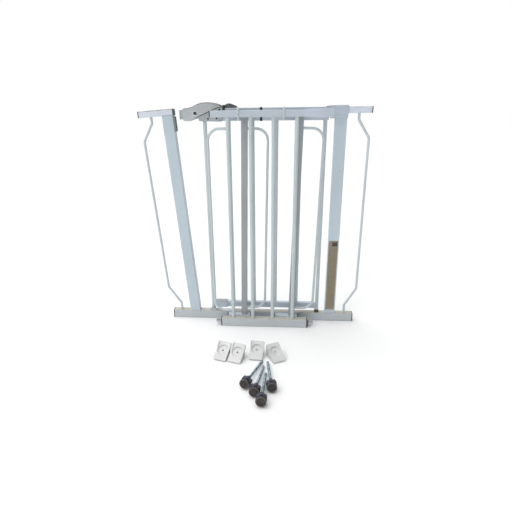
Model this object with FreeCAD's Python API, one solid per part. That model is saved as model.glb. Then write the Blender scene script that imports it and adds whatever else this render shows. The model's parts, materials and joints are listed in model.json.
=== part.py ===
"""Walk-through pet gate: splayed U-frame, hinged door with lift-lever latch, a bundled
extension kit tied together in front of it, and the loose wall cups and pressure spindles.

Millimetres, +Z up, +X along the gate's width, +Y away from the side that faces the room.
The origin is on the floor, under the centre of the frame's bottom rail.
"""
import FreeCAD, Part
import math
import os

V = FreeCAD.Vector

# --- tubes, caps and fits ---
TUBE_WALL = 1.5
BAR_DIAMETER = 13.0          # round bars and door stiles
BAR_WALL = 1.2
ROD_DIAMETER = 8.5           # bent solid rods
CAP_FLANGE = 3.5             # end caps: what shows outside the tube
CAP_PLUG = 14.0              # and what sits inside it
CAP_FIT = 0.2
PRESS_FIT = 0.05             # moulded pieces over and in tubes
PIN_CLEARANCE = 0.05         # radial, running
SWING_CLEARANCE = 0.4        # round pieces that sweep past each other

# --- frame ---
GATE_HEIGHT = 762.0          # top of the frame's arms and of the door's rail
RAIL_LENGTH = 680.0          # bottom rail
RAIL_HEIGHT = 32.0
RAIL_DEPTH = 25.0
UPRIGHT_WIDTH = 38.0
UPRIGHT_INSET = 102.0        # rail's end to the upright's inner face
ARM_HEIGHT = 20.0
ARM_OVERHANG = 12.0          # arm's end beyond the rail's end
LEFT_LEAN = 4.2              # degrees that the free side stands open before fitting
SOCKET_DIAMETER = 8.6        # spindle socket through each frame end cap
SIDE_ROD_BEND = 12.0
SIDE_ROD_TOP_INSET = 25.0    # where it meets the arm, in from the rail's end
SIDE_ROD_OUT = 11.0          # its outer stretch, beyond the rail's end
SIDE_ROD_FOOT_INSET = 29.0   # where it meets the bottom rail
SIDE_ROD_DROP = 20.0         # straight run under the arm
SIDE_ROD_SHOULDER = 96.0     # below the gate's top
SIDE_ROD_HIP = 99.0          # above the bottom rail
SIDE_ROD_ANKLE = 30.0
KEEPER_LENGTH = 50.0         # latch keeper on the leaning upright
KEEPER_BACK = 1.5
KEEPER_LIP = 3.0
KEEPER_LIP_WIDTH = 2.5
LABEL_HEIGHT = 270.0         # blank printed sheet on the right upright
LABEL_THICK = 0.3

# --- hinge ---
HINGE_SETBACK = 30.0         # upright's inner face to the hinge axis
PIN_DIAMETER = 8.0           # both hinge pins
TONGUE_THICK = 8.0           # hinge tongue in the slotted rail end
TONGUE_WIDTH = 12.0
BRACKET_REACH = 14.5         # bracket's side beyond the upright's inner face
BRACKET_WALL = 3.0
BRACKET_SKIRT = 15.0         # below the arm
BRACKET_ROOF = 4.0
BRACKET_STEP = 10.0          # height of its narrower lower part
FOOT_PIN_HEIGHT = 28.0
FOOT_WASHER_THICK = 4.0
FOOT_WASHER_RADIUS = 9.0

# --- door ---
LATCH_SETBACK = 51.0         # free upright's inner face to the latch stile's axis
DOOR_BARS = 4                # between the two stiles
DOOR_RAIL_HEIGHT = 40.0
DOOR_RAIL_START = 22.0       # rail's left end, from the latch stile's axis
DOOR_RAIL_PAST_HINGE = 7.0
SILL_HEIGHT = 22.0           # door's lower rail
SILL_DEPTH = 16.0
SILL_GAP = 17.0              # above the frame's bottom rail
STILE_GAP = 10.0
BUSH_RADIUS = 8.0
GUIDE_LENGTH = 14.0          # inside the latch stile
BEARING_LENGTH = 22.0        # inside the hinge stile
SLEEVE_START = 12.0          # stop sleeve on the lower rail, from the latch stile's axis
STOP_SLEEVE_LENGTH = 44.0
STOP_SLEEVE_WALL = 2.3
BAND_WIDTH = 8.0             # elastic band round the door's rail
BAND_THICK = 1.2
BAND_FIT = 0.1

# --- latch, from the latch stile's axis and the door rail's top ---
SHELL_SIDE = 3.0             # shells stand this much proud of the rail's faces
LATCH_WALL = 2.4
PIVOT = (-28.0, -16.0)
PIVOT_DIAMETER = 6.0
SPLIT_START = (-23.0, -28.5)     # parting line between lever and base
SPLIT_END = (48.0, 0.5)
SPLIT_GAP = 0.6
LATCH_END = 62.5
STILE_TOP = -25.0
LIFT_ROD_DIAMETER = 5.0
LIFT_HEAD_DIAMETER = 9.0
LIFT_HEAD_THICK = 3.0
LIFT_HEAD_LOW = -12.0
LIFT_FINGER_RADIUS = 2.0
LIFT_TIP_GAP = 2.6           # rod's tip above the frame's bottom rail
LEVER_TOP = ((-69.0, -1.0), (-54.0, 0.0), (-35.0, 5.0), (-21.0, 12.5), (1.0, 17.0), (22.0, 17.0),
             (48.0, 13.0), (61.0, 6.5))
RIVETS = ((52.5, -6.0), (42.0, -32.0), (14.0, -33.0))
RIVET_RADIUS = 2.0
RIVET_HEAD = (3.0, 0.9)      # radius and height
WASHER_RADIUS = 8.2
WASHER_THICK = 1.5
SCREW_HEAD_RADIUS = 5.6
SCREW_HEAD_THICK = 2.2
HEX_RADIUS = 2.6
SLIDER_START = 70.0
SLIDER_LENGTH = 41.0
SLIDER_HALF = 10.0
SLIDER_TRAVEL = 8.0
SLIDER_NECK_HALF = 3.0
SPRING_LENGTH = 29.7
SPRING_RADIUS = 2.9
SPRING_WIRE = 0.7

# --- extension kit: one wide panel and two narrow pieces, tied together ---
NARROW_GAP = 7.0             # between the frame's rail and the narrow pieces' rails
PANEL_GAP = 2.5              # between those and the wide panel's rail
KIT_DROP = 10.0              # their tops below the gate's top
PANEL_START = -145.0
PANEL_LENGTH = 311.0
PANEL_TOP_OVERHANG = 12.0
PANEL_BAR_INSET = 42.0
PANEL_PITCH = 72.4
PANEL_BARS = 4
END_ROD_REACH = 66.0         # from where it is welded to its outer stretch
END_ROD_BEND = 38.0
END_ROD_DROP = 54.0          # below the pieces' tops
END_ROD_RISE = 30.0          # above their bottom rails
SLEEVE_OVERLAP = 29.0
SLEEVE_LENGTH = 89.0
SLEEVE_WALL = 2.0
SLEEVE_FIT = 0.3
PEG_RADIUS = 7.0
PEG_LENGTHS = (19.0, 22.0)
PEG_NUT = (10.0, 5.0)        # radius and thickness
POST_WIDTH = 21.0
NARROW_FOOT_X = (-65.0, 111.0)
NARROW_TILT = (1.0, 1.25)    # degrees, top to the right
NARROW_STUB = (-60.0, 22.0)  # rail stubs, from the post's centre line
TIE_X = (-69.0, 73.0)
TIE_WIDTH = 4.6
TIE_THICK = 1.3
TIE_SEAT = 0.3               # to the faces that it holds
TIE_SLACK = (4.0, 3.2)       # under and over the rails
TIE_CORNER = 1.5
TIE_HEAD = (7.2, 5.6, 6.0)   # width, depth, height
TIE_TAIL = 7.0

# --- loose hardware ---
CUP_WIDTH = 44.0
CUP_LENGTH = 66.0
CUP_THICK = 7.0
CUP_SOCKET = 34.0
CUP_SOCKET_DEPTH = 4.5
CUP_SOCKET_PLACE = 0.55      # of its length, from its low end
CUP_HOLE = 4.4
CUP_TILT = 31.0
CUP_WEB = 2.6
CUP_PLACES = ((-121.0, -294.0, -16.0), (-73.0, -303.0, -16.0), (-6.0, -286.0, -5.0), (70.0, -292.0, 27.0))
SPINDLE_LENGTH = 145.0
SPINDLE_DIAMETER = 8.0
FOOT_DIAMETER = 30.0
FOOT_THICK = 10.0
FOOT_STEP = 3.0              # its smaller back, each way
FOOT_GRIP = 4.0              # how deep the rod sits in it
NUT_DIAMETER = 32.0
NUT_THICK = 14.0
NUT_GAP = 1.0                # between foot and nut
NUT_LOBES = 6
LOBE_CUT = 5.5               # radius of the scallops, centred this far outside the nut:
LOBE_CUT_OUT = 3.0
FLOOR_GAP = 0.3
SPINDLE_PLACES = (((-29.0, -430.0), (14.0, -300.0)), ((1.0, -463.0), (23.0, -310.0)),
                  ((22.0, -500.0), (30.0, -345.0)), ((50.0, -441.0), (33.0, -300.0)))

# --- worked out ---
HALF_DEPTH = RAIL_DEPTH / 2
BAR_RADIUS = BAR_DIAMETER / 2
STILE_BORE = BAR_RADIUS - BAR_WALL
PIN_RADIUS = PIN_DIAMETER / 2
RAIL_END = RAIL_LENGTH / 2
INNER_X = RAIL_END - UPRIGHT_INSET          # the uprights' inner faces, before the lean
OUTER_X = INNER_X + UPRIGHT_WIDTH
ARM_END = RAIL_END + ARM_OVERHANG
ARM_BOTTOM = GATE_HEIGHT - ARM_HEIGHT
HINGE_X = INNER_X - HINGE_SETBACK
STILE_X = LATCH_SETBACK - INNER_X
DOOR_PITCH = (HINGE_X - STILE_X) / (DOOR_BARS + 1)
DOOR_TOP = GATE_HEIGHT
DOOR_RAIL_BOTTOM = DOOR_TOP - DOOR_RAIL_HEIGHT
DOOR_RAIL_LEFT = STILE_X + DOOR_RAIL_START
DOOR_RAIL_RIGHT = HINGE_X + DOOR_RAIL_PAST_HINGE
SILL_BOTTOM = RAIL_HEIGHT + SILL_GAP
SILL_TOP = SILL_BOTTOM + SILL_HEIGHT
STILE_BOTTOM = RAIL_HEIGHT + STILE_GAP
TONGUE_Z = DOOR_RAIL_BOTTOM + DOOR_RAIL_HEIGHT / 2
LATCH_HALF = HALF_DEPTH + SHELL_SIDE
LEVER_HALF = LATCH_HALF - LATCH_WALL        # half of the room between the lever's walls
KIT_TOP = GATE_HEIGHT - KIT_DROP
KIT_TOP_LOW = KIT_TOP - ARM_HEIGHT
NARROW_Y = -RAIL_DEPTH - NARROW_GAP
PANEL_Y = NARROW_Y - RAIL_DEPTH - PANEL_GAP
PANEL_END = PANEL_START + PANEL_LENGTH
HALF_ARM = ARM_HEIGHT / 2                   # the kit's top rails are square
FAR = 1000.0                                # past the whole object, for cutting


def box(x0, x1, y0, y1, z0, z1):
    return Part.makeBox(x1 - x0, y1 - y0, z1 - z0, V(x0, y0, z0))


def cylinder(start, end, radius):
    run = V(*end) - V(*start)
    return Part.makeCylinder(radius, run.Length, V(*start), run)


def upright_cylinder(x, z0, z1, radius, y=0.0):
    return cylinder((x, y, z0), (x, y, z1), radius)


def cross_cylinder(x, z, y0, y1, radius):
    return cylinder((x, y0, z), (x, y1, z), radius)


def tube_box(x0, x1, y0, y1, z0, z1, along):
    """Rectangular tube with open ends; along is 'x' or 'z'."""
    outer = box(x0, x1, y0, y1, z0, z1)
    wall = TUBE_WALL
    if along == "x":
        return outer.cut(box(x0 - 1, x1 + 1, y0 + wall, y1 - wall, z0 + wall, z1 - wall))
    return outer.cut(box(x0 + wall, x1 - wall, y0 + wall, y1 - wall, z0 - 1, z1 + 1))


def bar_tube(x, y, z0, z1):
    outer = upright_cylinder(x, z0, z1, BAR_RADIUS, y)
    return outer.cut(upright_cylinder(x, z0 - 1, z1 + 1, STILE_BORE, y))


def bent_wire(points, bend):
    """Straight runs joined by tangent arcs of one radius."""
    points = [V(*p) for p in points]
    edges, start = [], points[0]
    for before, corner, after in zip(points, points[1:], points[2:]):
        to_before, to_after = (before - corner).normalize(), (after - corner).normalize()
        half = to_before.getAngle(to_after) / 2
        cut = bend / math.tan(half)
        inward = (to_before + to_after).normalize()
        first, last = corner + to_before * cut, corner + to_after * cut
        middle = corner + inward * (bend / math.sin(half) - bend)
        edges += [Part.LineSegment(start, first).toShape(), Part.Arc(first, middle, last).toShape()]
        start = last
    edges.append(Part.LineSegment(start, points[-1]).toShape())
    return Part.Wire(edges)


def bent_rod(points, bend):
    path = bent_wire(points, bend)
    first, second = V(*points[0]), V(*points[1])
    section = Part.Wire([Part.makeCircle(ROD_DIAMETER / 2, first, second - first)])
    return path.makePipeShell([section], True, False)


def plate(points, half):
    """Flat outline in the XZ plane, half as thick each side of the middle plane."""
    points = list(points)
    outline = Part.makePolygon([V(x, -half, z) for x, z in points + points[:1]])
    return Part.Face(outline).extrude(V(0, 2 * half, 0))


def joined(first, *others):
    return first.multiFuse(list(others)).removeSplitter()


def eased(shape, radius, keep):
    """Fillet the edges that keep(edge) names."""
    return shape.makeFillet(radius, [edge for edge in shape.Edges if keep(edge)])


def runs_along(edge, direction):
    first, last = edge.Vertexes[0].Point, edge.Vertexes[-1].Point
    run = last - first
    return run.Length > 0.5 and abs(run.normalize().dot(direction)) > 0.999


def on_side(edge, half):
    return abs(abs(edge.CenterOfMass.y) - half) < 0.01


def end_cap(x, sign, y, half_depth, z0, z1, socket=0.0):
    """Plug for a rectangular tube that ends at x; sign is the way out. A socket goes through."""
    out, far = x + sign * CAP_FLANGE, x - sign * CAP_PLUG
    flange = box(min(x, out), max(x, out), y - half_depth, y + half_depth, z0, z1)
    flange = eased(flange, 1.2, lambda e: abs(e.CenterOfMass.x - x) > CAP_FLANGE * 0.9)
    inset = TUBE_WALL + CAP_FIT
    half = half_depth - inset
    plug = box(min(x, far), max(x, far), y - half, y + half, z0 + inset, z1 - inset)
    cap = joined(flange, plug)
    if socket:
        z = (z0 + z1) / 2
        cap = cap.cut(cylinder((far - sign, y, z), (out + sign, y, z), socket / 2))
    return cap


# --- frame: each side is drawn upright on the right, then mirrored and leaned for the left ---

def place_side(shape, left):
    if not left:
        return shape
    turned = shape.mirror(V(0, 0, 0), V(1, 0, 0))
    middle = -(INNER_X + OUTER_X) / 2
    turned.rotate(V(middle, 0, RAIL_HEIGHT), V(0, 1, 0), -LEFT_LEAN)
    return turned


def above_rail(shape):
    return shape.cut(box(-FAR, FAR, -FAR, FAR, -FAR, RAIL_HEIGHT))


def lean_drop(left):
    """Extra length below the rail's top, which the lean lifts and above_rail trims."""
    return 14.0 if left else 0.0


def upright(left):
    low = RAIL_HEIGHT - lean_drop(left)
    tube = tube_box(INNER_X, OUTER_X, -HALF_DEPTH, HALF_DEPTH, low, ARM_BOTTOM, "z")
    return above_rail(place_side(tube, left))


def top_arm(left):
    return place_side(tube_box(INNER_X, ARM_END, -HALF_DEPTH, HALF_DEPTH, ARM_BOTTOM, GATE_HEIGHT, "x"), left)


def side_rod(left):
    top_x, out_x = RAIL_END - SIDE_ROD_TOP_INSET, RAIL_END + SIDE_ROD_OUT
    foot_x = RAIL_END - SIDE_ROD_FOOT_INSET
    points = [(top_x, 0, ARM_BOTTOM), (top_x, 0, ARM_BOTTOM - SIDE_ROD_DROP),
              (out_x, 0, GATE_HEIGHT - SIDE_ROD_SHOULDER), (out_x, 0, RAIL_HEIGHT + SIDE_ROD_HIP),
              (foot_x, 0, RAIL_HEIGHT + SIDE_ROD_ANKLE), (foot_x, 0, RAIL_HEIGHT - lean_drop(left))]
    return above_rail(place_side(bent_rod(points, SIDE_ROD_BEND), left))


def frame_end_caps():
    caps = [end_cap(sign * RAIL_END, sign, 0, HALF_DEPTH, 0, RAIL_HEIGHT, SOCKET_DIAMETER)
            for sign in (-1, 1)]
    top = end_cap(ARM_END, 1, 0, HALF_DEPTH, ARM_BOTTOM, GATE_HEIGHT, SOCKET_DIAMETER)
    return caps + [place_side(top.copy(), left) for left in (False, True)]


def arm_inner_cap():
    """Blank plug in the inner end of the leaning side's arm."""
    return place_side(end_cap(INNER_X, -1, 0, HALF_DEPTH, ARM_BOTTOM, GATE_HEIGHT), True)


def latch_keeper():
    """Plate with two locating lips on the leaning upright's inner face."""
    high = ARM_BOTTOM - 2
    low = high - KEEPER_LENGTH
    face = INNER_X - KEEPER_BACK
    back = box(face, INNER_X, -HALF_DEPTH, HALF_DEPTH, low, high)
    front_lip = box(face - KEEPER_LIP, face, -HALF_DEPTH, KEEPER_LIP_WIDTH - HALF_DEPTH, low + 2, high - 2)
    rear_lip = box(face - KEEPER_LIP, face, HALF_DEPTH - KEEPER_LIP_WIDTH, HALF_DEPTH, low + 2, high - 2)
    return place_side(joined(back, front_lip, rear_lip), True)


def hinge_bracket():
    """Sleeve over the right upright's top, with the tongue that the door hangs on."""
    left, right, half = INNER_X - BRACKET_REACH, OUTER_X + BRACKET_WALL, HALF_DEPTH + BRACKET_WALL
    bottom, top = ARM_BOTTOM - BRACKET_SKIRT, GATE_HEIGHT + BRACKET_ROOF
    sleeve = box(left, right, -half, half, bottom, top)
    step = box(left - 1, right + 1, -half - 1, half + 1, bottom - 1, bottom + BRACKET_STEP)
    core = box(left, right - 1, 1 - half, half - 1, bottom, bottom + BRACKET_STEP)
    sleeve = eased(sleeve.cut(step.cut(core)), 1.5, lambda e: e.CenterOfMass.z > top - 0.1)
    reach, ceiling = HALF_DEPTH + CAP_FIT, GATE_HEIGHT + CAP_FIT
    sleeve = sleeve.cut(box(INNER_X - CAP_FIT, OUTER_X + CAP_FIT, -reach, reach, bottom - 1, ceiling))
    sleeve = sleeve.cut(box(OUTER_X, right + 1, -reach, reach, ARM_BOTTOM - CAP_FIT, ceiling))
    low, high = TONGUE_Z - TONGUE_THICK / 2, TONGUE_Z + TONGUE_THICK / 2
    tongue = box(HINGE_X, left + 1, -TONGUE_WIDTH / 2, TONGUE_WIDTH / 2, low, high)
    eye = upright_cylinder(HINGE_X, low, high, TONGUE_WIDTH / 2)
    return joined(sleeve, tongue, eye).cut(upright_cylinder(HINGE_X, low - 1, high + 1, PIN_RADIUS))


def top_hinge_pin():
    return upright_cylinder(HINGE_X, DOOR_RAIL_BOTTOM + 4, DOOR_TOP - 4, PIN_RADIUS)


def bottom_hinge_pin():
    return upright_cylinder(HINGE_X, RAIL_HEIGHT, RAIL_HEIGHT + FOOT_PIN_HEIGHT, PIN_RADIUS)


def hinge_washer():
    top = RAIL_HEIGHT + FOOT_WASHER_THICK
    disc = upright_cylinder(HINGE_X, RAIL_HEIGHT, top, FOOT_WASHER_RADIUS)
    return disc.cut(upright_cylinder(HINGE_X, RAIL_HEIGHT - 1, top + 1, PIN_RADIUS + PIN_CLEARANCE))


def lower_catch():
    """Tray on the bottom rail that stops the latch stile at the closed place, open at the back."""
    x0, x1 = STILE_X - 12.0, STILE_X + 12.0
    front, back, wall = 1.0 - HALF_DEPTH, BAR_RADIUS + 1.5, 2.2
    floor_z = RAIL_HEIGHT + 2.0
    tray = box(x0, x1, front, back, RAIL_HEIGHT, floor_z)
    front_wall = box(x0, x1, front, front + wall, floor_z, floor_z + 9.0)
    sides = [box(x, x + wall, front, back, floor_z, floor_z + 2.0) for x in (x0, x1 - wall)]
    return joined(tray, front_wall, *sides)


def frame_label():
    low, left, right = RAIL_HEIGHT + 16.0, INNER_X + TUBE_WALL, OUTER_X - 4.0
    return box(left, right, -HALF_DEPTH - LABEL_THICK, -HALF_DEPTH, low, low + LABEL_HEIGHT)


# --- door ---

def tongue_slot(shape):
    """Clearance for the hinge tongue over the door's whole swing, the front wall kept."""
    room = TONGUE_THICK / 2 + SWING_CLEARANCE
    low, high = TONGUE_Z - room, TONGUE_Z + room
    reach = TONGUE_WIDTH / 2 + SWING_CLEARANCE
    swept = upright_cylinder(HINGE_X, low, high, reach)
    out = box(HINGE_X, FAR, -reach, FAR, low, high)
    back = box(HINGE_X - reach, FAR, 0, FAR, low, high)
    return shape.cut(swept.multiFuse([out, back]))


def door_rail():
    rail = tube_box(DOOR_RAIL_LEFT, DOOR_RAIL_RIGHT, -HALF_DEPTH, HALF_DEPTH, DOOR_RAIL_BOTTOM, DOOR_TOP, "x")
    start, end, inset = DOOR_RAIL_START - 1, SPLIT_END[0] + 9, 3.0
    above = plate([(start, split_z(start) - inset), (end, split_z(end) - inset), (end, FAR), (start, FAR)],
                  FAR)
    slot = box(SLIDER_START + 6, SLIDER_START + SLIDER_LENGTH + SLIDER_TRAVEL - 5,
               -SLIDER_NECK_HALF - SWING_CLEARANCE, SLIDER_NECK_HALF + SWING_CLEARANCE, -4, 1)
    return tongue_slot(rail.cut(at_latch(above)).cut(at_latch(slot)))


def rail_end_plug():
    """Hinge knuckle that closes the door rail's right end."""
    inset = TUBE_WALL + CAP_FIT
    half = HALF_DEPTH - inset
    plug = box(DOOR_RAIL_RIGHT - 26, DOOR_RAIL_RIGHT, -half, half, DOOR_RAIL_BOTTOM + inset, DOOR_TOP - inset)
    flange = box(DOOR_RAIL_RIGHT, DOOR_RAIL_RIGHT + 2, 2 - HALF_DEPTH, HALF_DEPTH - 2,
                 DOOR_RAIL_BOTTOM + 1, DOOR_TOP - 1)
    pin_room = upright_cylinder(HINGE_X, DOOR_RAIL_BOTTOM + 3.5, DOOR_TOP - 3.5, PIN_RADIUS + PIN_CLEARANCE)
    return tongue_slot(joined(plug, flange)).cut(pin_room)


def bar_places():
    return [STILE_X + DOOR_PITCH * (i + 1) for i in range(DOOR_BARS)]


def door_bars():
    return [bar_tube(x, 0, SILL_TOP, DOOR_RAIL_BOTTOM) for x in bar_places()]


def clear_of_bars(shape):
    """Room for any bar that stands within the piece's length, as on a narrower door."""
    for x in bar_places():
        shape = shape.cut(upright_cylinder(x, SILL_TOP, DOOR_RAIL_BOTTOM, BAR_RADIUS + PRESS_FIT))
    return shape


def door_sill():
    """Lower rail, its ends scooped to the two stiles."""
    half = SILL_DEPTH / 2
    sill = tube_box(STILE_X, HINGE_X, -half, half, SILL_BOTTOM, SILL_TOP, "x")
    for x in (STILE_X, HINGE_X):
        sill = sill.cut(upright_cylinder(x, 0, FAR, BAR_RADIUS))
    return sill


def sill_sleeve():
    half, left = SILL_DEPTH / 2 + CAP_FIT, STILE_X + SLEEVE_START
    right = left + STOP_SLEEVE_LENGTH
    low, high, wall = SILL_BOTTOM - CAP_FIT, SILL_TOP + CAP_FIT, STOP_SLEEVE_WALL
    outer = box(left, right, -half - wall, half + wall, low - wall, high + wall)
    outer = eased(outer, 1.5, lambda e: runs_along(e, V(1, 0, 0)))
    return clear_of_bars(outer.cut(box(left - 1, right + 1, -half, half, low, high)))


def stile_bush(x, flange_low, length, bore):
    """Flanged bush pressed into the foot of a stile."""
    flange = upright_cylinder(x, flange_low, STILE_BOTTOM, BUSH_RADIUS)
    body = upright_cylinder(x, STILE_BOTTOM, STILE_BOTTOM + length, STILE_BORE - PRESS_FIT)
    return joined(flange, body).cut(upright_cylinder(x, flange_low - 1, STILE_BOTTOM + length + 1, bore))


def rail_band():
    half = BAND_WIDTH / 2
    y, low, high = HALF_DEPTH + BAND_FIT, DOOR_RAIL_BOTTOM - BAND_FIT, DOOR_TOP + BAND_FIT
    outer = box(-half, half, -y - BAND_THICK, y + BAND_THICK, low - BAND_THICK, high + BAND_THICK)
    return outer.cut(box(-half - 1, half + 1, -y, y, low, high))


# --- latch: drawn from the latch stile's axis and the door rail's top, then put there ---

def at_latch(shape):
    shape.translate(V(STILE_X, 0, DOOR_TOP))
    return shape


def split_z(x):
    slope = (SPLIT_END[1] - SPLIT_START[1]) / (SPLIT_END[0] - SPLIT_START[0])
    return SPLIT_START[1] + (x - SPLIT_START[0]) * slope


def drill_rivets(shape):
    for x, z in RIVETS:
        shape = shape.cut(at_latch(cross_cylinder(x, z, -FAR, FAR, RIVET_RADIUS)))
    return shape


def latch_rivets():
    rivets = []
    head_radius, head_thick = RIVET_HEAD
    for x, z in RIVETS:
        shank = cross_cylinder(x, z, -LATCH_HALF, LATCH_HALF, RIVET_RADIUS)
        heads = [cross_cylinder(x, z, sign * LATCH_HALF, sign * (LATCH_HALF + head_thick), head_radius)
                 for sign in (-1, 1)]
        rivets.append(at_latch(joined(shank, *heads)))
    return rivets


def latch_base():
    """Lower shell: holds the stile's top and the rail's left end, and carries the pivot lug."""
    left, low = SPLIT_START[0] + 4.0, -DOOR_RAIL_HEIGHT
    body = plate([(left, split_z(left)), SPLIT_END, (LATCH_END, 2.5), (LATCH_END, low + 9), (55, low - 2),
                  (-16, low)], LATCH_HALF)
    body = eased(body, 1.0, lambda e: on_side(e, LATCH_HALF) and e.CenterOfMass.z < low + 6)
    x, z = PIVOT
    lug = plate([(x - 11, z - 8), (x - 11, z + 6), (x - 5, z + 10), (x + 9, z + 10), (x + 15, z + 4),
                 (x + 19, z - 11), (x + 3, z - 17)], 8.0)
    base = joined(body, lug)
    reach = HALF_DEPTH + PRESS_FIT
    base = base.cut(box(DOOR_RAIL_START - 0.3, FAR, -reach, reach, low - PRESS_FIT, PRESS_FIT))
    base = base.cut(upright_cylinder(0, -FAR, STILE_TOP + PRESS_FIT, BAR_RADIUS + PRESS_FIT))
    base = base.cut(upright_cylinder(0, STILE_TOP - 7, FAR, LIFT_HEAD_DIAMETER / 2 + 1.0))
    base = at_latch(base.cut(cross_cylinder(x, z, -FAR, FAR, PIVOT_DIAMETER / 2)))
    return clear_of_bars(drill_rivets(base))


def latch_lever():
    """Hollow arched lever, open below, with two fingers that lift the rod's head."""
    (x0, z0), (x1, z1) = SPLIT_START, SPLIT_END
    under = ((LATCH_END - 1.5, z1 + 1.5 + SPLIT_GAP), (x1, z1 + SPLIT_GAP), (x0, z0 + SPLIT_GAP),
             (x0 - 7.0, z0 - 3.5), (x0 - 23.0, z0 - 9.5), (x0 - 37.0, z0 - 11.5), (x0 - 46.0, z0 - 9.5))
    body = plate(LEVER_TOP + under, LATCH_HALF)
    body = eased(body, 1.6, lambda e: on_side(e, LATCH_HALF) and e.CenterOfMass.z > 3)
    end_wall = 4.0
    roof = [(x - (end_wall if x >= SPLIT_END[0] else 0.0), z - LATCH_WALL) for x, z in LEVER_TOP]
    open_below = [(57, -22), (37, -27), (-43, -62), (-83, -62), (-83, -4)]
    lever = body.cut(plate(roof + open_below, LEVER_HALF))
    z = LIFT_HEAD_LOW - LIFT_FINGER_RADIUS - 0.3
    fingers = [cross_cylinder(0, z, sign * 3.0, sign * (LEVER_HALF + 0.5), LIFT_FINGER_RADIUS)
               for sign in (-1, 1)]
    bore = cross_cylinder(*PIVOT, -FAR, FAR, PIVOT_DIAMETER / 2 + PIN_CLEARANCE)
    return at_latch(joined(lever, *fingers).cut(bore))


def latch_jaw():
    """Forked nose between the lever's walls; the rear prong reaches further."""
    low, high, nose = -34.0, -5.0, -68.0
    web = box(nose, nose + 17, -LEVER_HALF, LEVER_HALF, low, high)
    front = box(nose - 8, nose, -LEVER_HALF, 4 - LEVER_HALF, low, high)
    rear = box(nose - 17, nose, LEVER_HALF - 9, LEVER_HALF, low, high)
    pocket = box(nose + 6, nose + 14, 4 - LEVER_HALF, LEVER_HALF - 4, low - 8, high - 5)
    return at_latch(joined(web, front, rear).cut(pocket))


def lever_screw():
    x, z = PIVOT
    seat = LATCH_HALF + WASHER_THICK + 0.3
    shank = cross_cylinder(x, z, -seat, seat, PIVOT_DIAMETER / 2)
    heads = [cross_cylinder(x, z, sign * seat, sign * (seat + SCREW_HEAD_THICK), SCREW_HEAD_RADIUS)
             for sign in (-1, 1)]
    corners = [math.radians(60 * i) for i in range(6)]
    socket = plate([(x + HEX_RADIUS * math.cos(a), z + HEX_RADIUS * math.sin(a)) for a in corners], 1.0)
    socket.translate(V(0, -seat - SCREW_HEAD_THICK + 0.6, 0))
    return at_latch(joined(shank, *heads).cut(socket))


def lever_washers():
    x, z = PIVOT
    near, far = LATCH_HALF + 0.2, LATCH_HALF + 0.2 + WASHER_THICK
    hole = cross_cylinder(x, z, -FAR, FAR, PIVOT_DIAMETER / 2 + PIN_CLEARANCE)
    return [at_latch(cross_cylinder(x, z, sign * near, sign * far, WASHER_RADIUS).cut(hole))
            for sign in (-1, 1)]


def lift_rod():
    low, head = RAIL_HEIGHT + LIFT_TIP_GAP, DOOR_TOP + LIFT_HEAD_LOW
    rod = upright_cylinder(STILE_X, low, head, LIFT_ROD_DIAMETER / 2)
    return joined(rod, upright_cylinder(STILE_X, head, head + LIFT_HEAD_THICK, LIFT_HEAD_DIAMETER / 2))


def latch_collar():
    """Dark saddle round the rail where the latch ends."""
    outer = box(LATCH_END + 0.3, SLIDER_START - 0.5, -LATCH_HALF, LATCH_HALF, -16, 9)
    outer = eased(outer, 2.0, lambda e: runs_along(e, V(1, 0, 0)) and e.CenterOfMass.z > 8)
    reach = HALF_DEPTH + PRESS_FIT
    return at_latch(outer.cut(box(-FAR, FAR, -reach, reach, -FAR, PRESS_FIT)))


def safety_slider():
    """Thumb piece on the rail's top, held by a T-foot in the rail's slot."""
    low, left, right = 0.2, SLIDER_START, SLIDER_START + SLIDER_LENGTH
    hump = [(left, low), (left, 8.0), (left + 13, 13.5), (left + 21, 12.5), (right - 2, 3.5), (right, low)]
    cap = eased(plate(hump, SLIDER_HALF), 1.5, lambda e: on_side(e, SLIDER_HALF) and e.CenterOfMass.z > 4)
    neck = box(left + 7, right - 6, -SLIDER_NECK_HALF, SLIDER_NECK_HALF, -3, low)
    foot = box(left + 7, right - 6, -SLIDER_NECK_HALF - 4, SLIDER_NECK_HALF + 4, -8, -TUBE_WALL - 0.3)
    return at_latch(joined(cap, neck, foot))


def slider_spring():
    """Return spring between the slider's foot and the stop inside the rail."""
    start, z = SLIDER_START + SLIDER_LENGTH - 5.7, -5.2
    end = start + SPRING_LENGTH
    coil = cylinder((start, 0, z), (end, 0, z), SPRING_RADIUS)
    return at_latch(coil.cut(cylinder((start - 1, 0, z), (end + 1, 0, z), SPRING_RADIUS - SPRING_WIRE)))


def spring_stop():
    radius = 2.2
    x = SLIDER_START + SLIDER_LENGTH - 5.7 + SPRING_LENGTH + radius + 0.1
    return at_latch(upright_cylinder(x, -TUBE_WALL - 9.5, -TUBE_WALL, radius))


# --- extension kit ---

def panel_bars():
    first = PANEL_START + PANEL_BAR_INSET
    return [bar_tube(first + PANEL_PITCH * i, PANEL_Y, RAIL_HEIGHT, KIT_TOP_LOW) for i in range(PANEL_BARS)]


def panel_rail():
    return tube_box(PANEL_START, PANEL_END, PANEL_Y - HALF_DEPTH, PANEL_Y + HALF_DEPTH, 0, RAIL_HEIGHT, "x")


def panel_top_rail():
    return tube_box(PANEL_START - PANEL_TOP_OVERHANG, PANEL_END, PANEL_Y - HALF_ARM, PANEL_Y + HALF_ARM,
                    KIT_TOP_LOW, KIT_TOP, "x")


def end_rod(x, y, sign):
    """Rounded rod welded at x to a bar or post; sign is the way it bulges."""
    out, high, low = x + sign * END_ROD_REACH, KIT_TOP - END_ROD_DROP, RAIL_HEIGHT + END_ROD_RISE
    return bent_rod([(x, y, high), (out, y, high), (out, y, low), (x, y, low)], END_ROD_BEND)


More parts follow.
